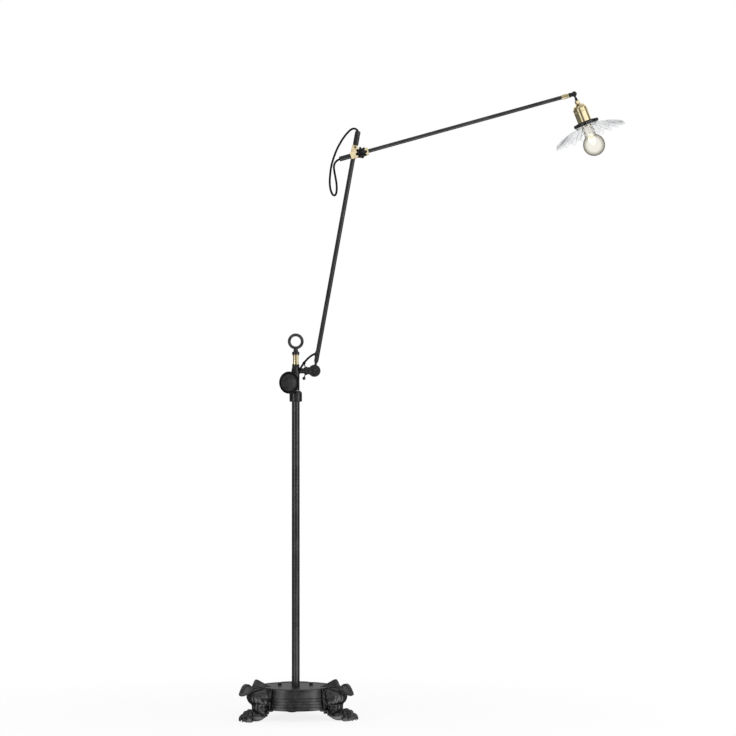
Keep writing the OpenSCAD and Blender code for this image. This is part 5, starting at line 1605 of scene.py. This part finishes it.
def shade_tree(material):
    """The fluted shade as one rolled sheet, whose flutes deepen towards the rim."""
    maker, given = geometry_tree("Fluted Shade", [
        ("Flutes", "NodeSocketInt", 22), ("Flute Depth", "NodeSocketFloat", 0.004),
        ("Neck Radius", "NodeSocketFloat", 0.0285), ("Rim Radius", "NodeSocketFloat", 0.098),
        ("Neck Height", "NodeSocketFloat", 0.009), ("Depth", "NodeSocketFloat", 0.037),
        ("Rings", "NodeSocketInt", 44)])
    around = maker.math("ADD", maker.math("MULTIPLY", given["Flutes"], 16.0), 1.0)
    grid = maker.add("GeometryNodeMeshGrid", {"Size X": 1.0, "Size Y": 1.0,
                                              "Vertices X": given["Rings"], "Vertices Y": around})
    spot = maker.add("ShaderNodeSeparateXYZ",
                     {0: maker.add("GeometryNodeInputPosition").outputs[0]})
    s = maker.math("ADD", spot.outputs[0], 0.5)
    angle = maker.math("MULTIPLY", spot.outputs[1], math.tau)
    flare = ranged(maker, s, 0.0, 1.0, SHADE_NECK_SHARE, 1.0)
    neck = ranged(maker, s, 0.0, 1.0, 0.0, SHADE_NECK_SHARE)
    spread = maker.math("SUBTRACT", given["Rim Radius"], given["Neck Radius"])
    reach = maker.math("POWER", flare, 1.12)
    radius = maker.math("MULTIPLY_ADD", reach, spread, given["Neck Radius"])
    fall = maker.math("SUBTRACT", given["Depth"], given["Neck Height"])
    curve = maker.math("MULTIPLY_ADD", maker.math("POWER", flare, 1.9), 0.55,
                       maker.math("MULTIPLY", flare, 0.45))
    depth = maker.math("MULTIPLY_ADD", curve, fall, maker.math("MULTIPLY", neck,
                                                               given["Neck Height"]))
    swell = eased_range(maker, flare, 0.0, 1.0, 0.05, 0.95)
    wave = maker.math("COSINE", maker.math("MULTIPLY", angle, given["Flutes"]))
    ripple = maker.math("MULTIPLY", maker.math("MULTIPLY", wave, swell), given["Flute Depth"])
    edge = maker.math("MULTIPLY_ADD", ripple, 0.5, radius)
    place = maker.add("ShaderNodeCombineXYZ", {0: maker.math("MULTIPLY", edge,
                                                             maker.math("COSINE", angle)),
                                               1: maker.math("MULTIPLY", edge,
                                                             maker.math("SINE", angle)),
                                               2: maker.math("ADD", depth, ripple)})
    marks = maker.add("ShaderNodeCombineXYZ", {0: wave, 1: flare})
    marked = maker.add("GeometryNodeStoreNamedAttribute", {"Geometry": grid, "Name": "flute",
                                                           "Value": marks.outputs[0]},
                       data_type="FLOAT_VECTOR", domain="POINT")
    rolled = maker.add("GeometryNodeSetPosition", {"Geometry": marked, "Position": place})
    welded = maker.add("GeometryNodeMergeByDistance", {"Geometry": rolled, "Distance": 1e-6})
    smooth = maker.add("GeometryNodeSetShadeSmooth", {"Geometry": welded})
    close_tree(maker, smooth, material)
    return maker.tree


class LAMP_OT_shade(bpy.types.Operator):
    """Makes the fluted clear glass shade"""
    bl_idname = "lamp.shade"
    bl_label = "Glass Shade"

    def execute(self, context):
        shade = context.scene.lamp_shade
        glass = fluted_glass_finish(shade)
        piece = grown("glass_shade_form", shade_tree(glass), {
            "Flutes": shade.flutes, "Flute Depth": shade.flute_depth,
            "Neck Radius": shade.neck_r - NECK_INSET, "Rim Radius": shade.rim_r - RIM_INSET,
            "Neck Height": shade.neck_h, "Depth": shade.depth, "Rings": shade.rings})
        wall = piece.modifiers.new("wall", "SOLIDIFY")
        wall.thickness = shade.thickness
        wall.offset = 0.0
        wall.use_even_offset = True
        lip = piece.modifiers.new("lip", "BEVEL")
        lip.width = shade.thickness * 0.38
        lip.segments = 3
        lip.limit_method = "ANGLE"
        lip.angle_limit = math.radians(55.0)
        baked(piece)
        moved(piece, head_frame() @ Matrix.Translation((0.0, 0.0, shade.start)))
        face_outwards(piece)
        painted(piece, glass)
        housed(piece, "lamp_head", "shade_glass", "glass_shade")
        return {"FINISHED"}


# Bulb

# The stem's start before the screw base's end, the cage's start up the stem, and the glasses' bends
STEM_START = 0.0042
CAGE_START = 0.039
GLOBE_BEND = 1.06
STEM_BEND = 1.15


def bulb_profile(bulb):
    """The globe's closed outline: up its outer face to the pole, and back down its inner face."""
    r, z = bulb.globe_r, bulb.globe_z
    neck, low = bulb.neck_r, bulb.base_end
    outer = [(neck, low - 0.004), (neck, low + 0.002), (neck + 0.0004, low + 0.008),
             (neck + 0.0012, low + 0.014)]
    outer += arc((0.0, z), r, -58.0, 86.0, 44) + [(0.0, z + r)]
    inner = [(max(0.0, x - bulb.wall * (x / r if y > z else 1.0)),
              y - bulb.wall * max(0.0, (y - z) / r)) for x, y in outer]
    return outer + list(reversed(inner))


def cage_tree(material):
    """The filament: strands that open out from the stem and close again, set round the axis."""
    maker, given = geometry_tree("Filament Cage", [
        ("Strands", "NodeSocketInt", 10), ("Length", "NodeSocketFloat", 0.03), ("Belly",
                                                                                "NodeSocketFloat",
                                                                                0.006),
        ("Wire Radius", "NodeSocketFloat", 0.0003)])
    line = maker.add("GeometryNodeCurvePrimitiveLine", {"End": (0.0, 0.0, 1.0)})
    fine = maker.add("GeometryNodeResampleCurve", {"Curve": line, "Count": 40})
    spot = maker.add("ShaderNodeSeparateXYZ",
                     {0: maker.add("GeometryNodeInputPosition").outputs[0]})
    arch = maker.math("SINE", maker.math("MULTIPLY", spot.outputs[2], math.pi))
    out = maker.math("MULTIPLY_ADD", arch, given["Belly"], 0.0016)
    curl = maker.math("MULTIPLY", maker.math("SINE", maker.math("MULTIPLY", spot.outputs[2],
                                                                110.0)), 0.00035)
    place = maker.add("ShaderNodeCombineXYZ", {0: out, 1: curl, 2: maker.math("MULTIPLY",
                                                                              spot.outputs[2],
                                                                              given["Length"])})
    bent = maker.add("GeometryNodeSetPosition", {"Geometry": fine, "Position": place})
    round_wire = maker.add("GeometryNodeCurvePrimitiveCircle", {"Resolution": 8,
                                                                "Radius": given["Wire Radius"]})
    strand = maker.add("GeometryNodeCurveToMesh", {"Curve": bent, "Profile Curve": round_wire,
                                                   "Fill Caps": True})
    ring = maker.add("GeometryNodeMeshLine", {"Count": given["Strands"], "Offset": (0.0, 0.0, 0.0)})
    index = maker.add("GeometryNodeInputIndex").outputs[0]
    turn = maker.math("DIVIDE", maker.math("MULTIPLY", index, math.tau), given["Strands"])
    spin = maker.add("ShaderNodeCombineXYZ", {2: turn})
    cage = maker.add("GeometryNodeInstanceOnPoints", {"Points": ring, "Instance": strand,
                                                      "Rotation": spin})
    close_tree(maker, cage, material)
    return maker.tree


class LAMP_OT_bulb(bpy.types.Operator):
    """Makes the clear globe bulb with its glass stem and filament"""
    bl_idname = "lamp.bulb"
    bl_label = "Bulb"

    def execute(self, context):
        bulb = context.scene.lamp_bulb
        glass = clear_glass_finish("bulb_glass", (0.95, 0.935, 0.89), bulb.edge, GLOBE_BEND)
        bm = bmesh.new()
        revolve(bm, bulb_profile(bulb), 96)
        bmesh.ops.remove_doubles(bm, verts=bm.verts, dist=1e-7)
        globe = painted(piece_from(bm, "bulb_globe"), glass)
        moved(globe, head_frame())
        housed(globe, "lamp_head", "bulb_glass", "bulb_glass")
        start = bulb.base_end - STEM_START
        stem = turned_mesh("stem", [(0.0, 0.0), (0.0092, 0.0), (0.0088, 0.003), (0.0040, 0.010),
                                    (0.0028, 0.020), (0.0024, 0.036), (0.0031, 0.038),
                                    (0.0024, 0.040), (0.0013, 0.042), (0.0013, 0.070),
                                    (0.0022, 0.0712), (0.0, 0.0724)], 32)
        # The stem's glass, too, is painted darker towards its outline: a painted shade.
        clear = clear_glass_finish("stem_glass", (0.98, 0.98, 0.96), (0.60, 0.57, 0.50), STEM_BEND)
        stem_piece = joined("bulb_stem",
                            [(stem, head_frame() @ Matrix.Translation((0.0, 0.0, start)))])
        painted(stem_piece, clear)
        housed(stem_piece, "lamp_head", "bulb_glass")
        cage = grown("filament_cage", cage_tree(glow_finish(bulb)), {
            "Strands": bulb.strands, "Length": 0.032, "Belly": 0.0075, "Wire Radius": 0.00032})
        moved(cage, head_frame() @ Matrix.Translation((0.0, 0.0, start + CAGE_START)))
        face_outwards(cage)
        housed(cage, "lamp_head", "filament", "filament")
        return {"FINISHED"}


# Panel and registration

class LAMP_PT_panel(bpy.types.Panel):
    """Lists the lamp's pieces and their sizes"""
    bl_idname = "LAMP_PT_panel"
    bl_label = "Floor Lamp"
    bl_space_type = "VIEW_3D"
    bl_region_type = "UI"
    bl_category = "Floor Lamp"

    def draw(self, context):
        for title, group, operators in PANEL_ROWS:
            box = self.layout.box()
            box.label(text=title)
            settings = getattr(context.scene, group)
            for name in settings.__annotations__:
                box.prop(settings, name)
            for operator in operators:
                box.operator(operator)


PANEL_ROWS = [
    ("Stage", "lamp_stage", ["lamp.stage"]),
    ("Cords", "lamp_cord", ["lamp.cords"]),
    ("Feet", "lamp_foot", ["lamp.claw_feet"]),
    ("Finishes", "lamp_finish", ["lamp.ironwork", "lamp.brasswork", "lamp.inner_parts"]),
    ("Knobs", "lamp_knob", ["lamp.star_knob", "lamp.thumbscrews"]),
    ("Shade", "lamp_shade", ["lamp.shade"]),
    ("Bulb", "lamp_bulb", ["lamp.bulb"]),
]

SETTINGS = {
    "lamp_stage": LampStageSettings,
    "lamp_cord": LampCordSettings,
    "lamp_foot": LampFootSettings,
    "lamp_finish": LampFinishSettings,
    "lamp_knob": LampKnobSettings,
    "lamp_shade": LampShadeSettings,
    "lamp_bulb": LampBulbSettings,
}

OPERATORS = [LAMP_OT_stage, LAMP_OT_cords, LAMP_OT_claw_feet, LAMP_OT_ironwork, LAMP_OT_brasswork,
             LAMP_OT_inner_parts, LAMP_OT_star_knob, LAMP_OT_thumbscrews, LAMP_OT_shade,
             LAMP_OT_bulb]


def register():
    for settings in SETTINGS.values():
        bpy.utils.register_class(settings)
    for operator in OPERATORS:
        bpy.utils.register_class(operator)
    bpy.utils.register_class(LAMP_PT_panel)
    for name, settings in SETTINGS.items():
        setattr(bpy.types.Scene, name, PointerProperty(type=settings))


def unregister():
    for name in SETTINGS:
        delattr(bpy.types.Scene, name)
    bpy.utils.unregister_class(LAMP_PT_panel)
    for operator in reversed(OPERATORS):
        bpy.utils.unregister_class(operator)
    for settings in reversed(list(SETTINGS.values())):
        bpy.utils.unregister_class(settings)


def main():
    """Makes every piece in order."""
    register()
    bpy.ops.lamp.stage()
    bpy.ops.lamp.cords()
    bpy.ops.lamp.claw_feet()
    bpy.ops.lamp.ironwork()
    bpy.ops.lamp.brasswork()
    bpy.ops.lamp.inner_parts()
    bpy.ops.lamp.star_knob()
    bpy.ops.lamp.thumbscrews()
    bpy.ops.lamp.shade()
    bpy.ops.lamp.bulb()


if __name__ == "__main__":
    main()
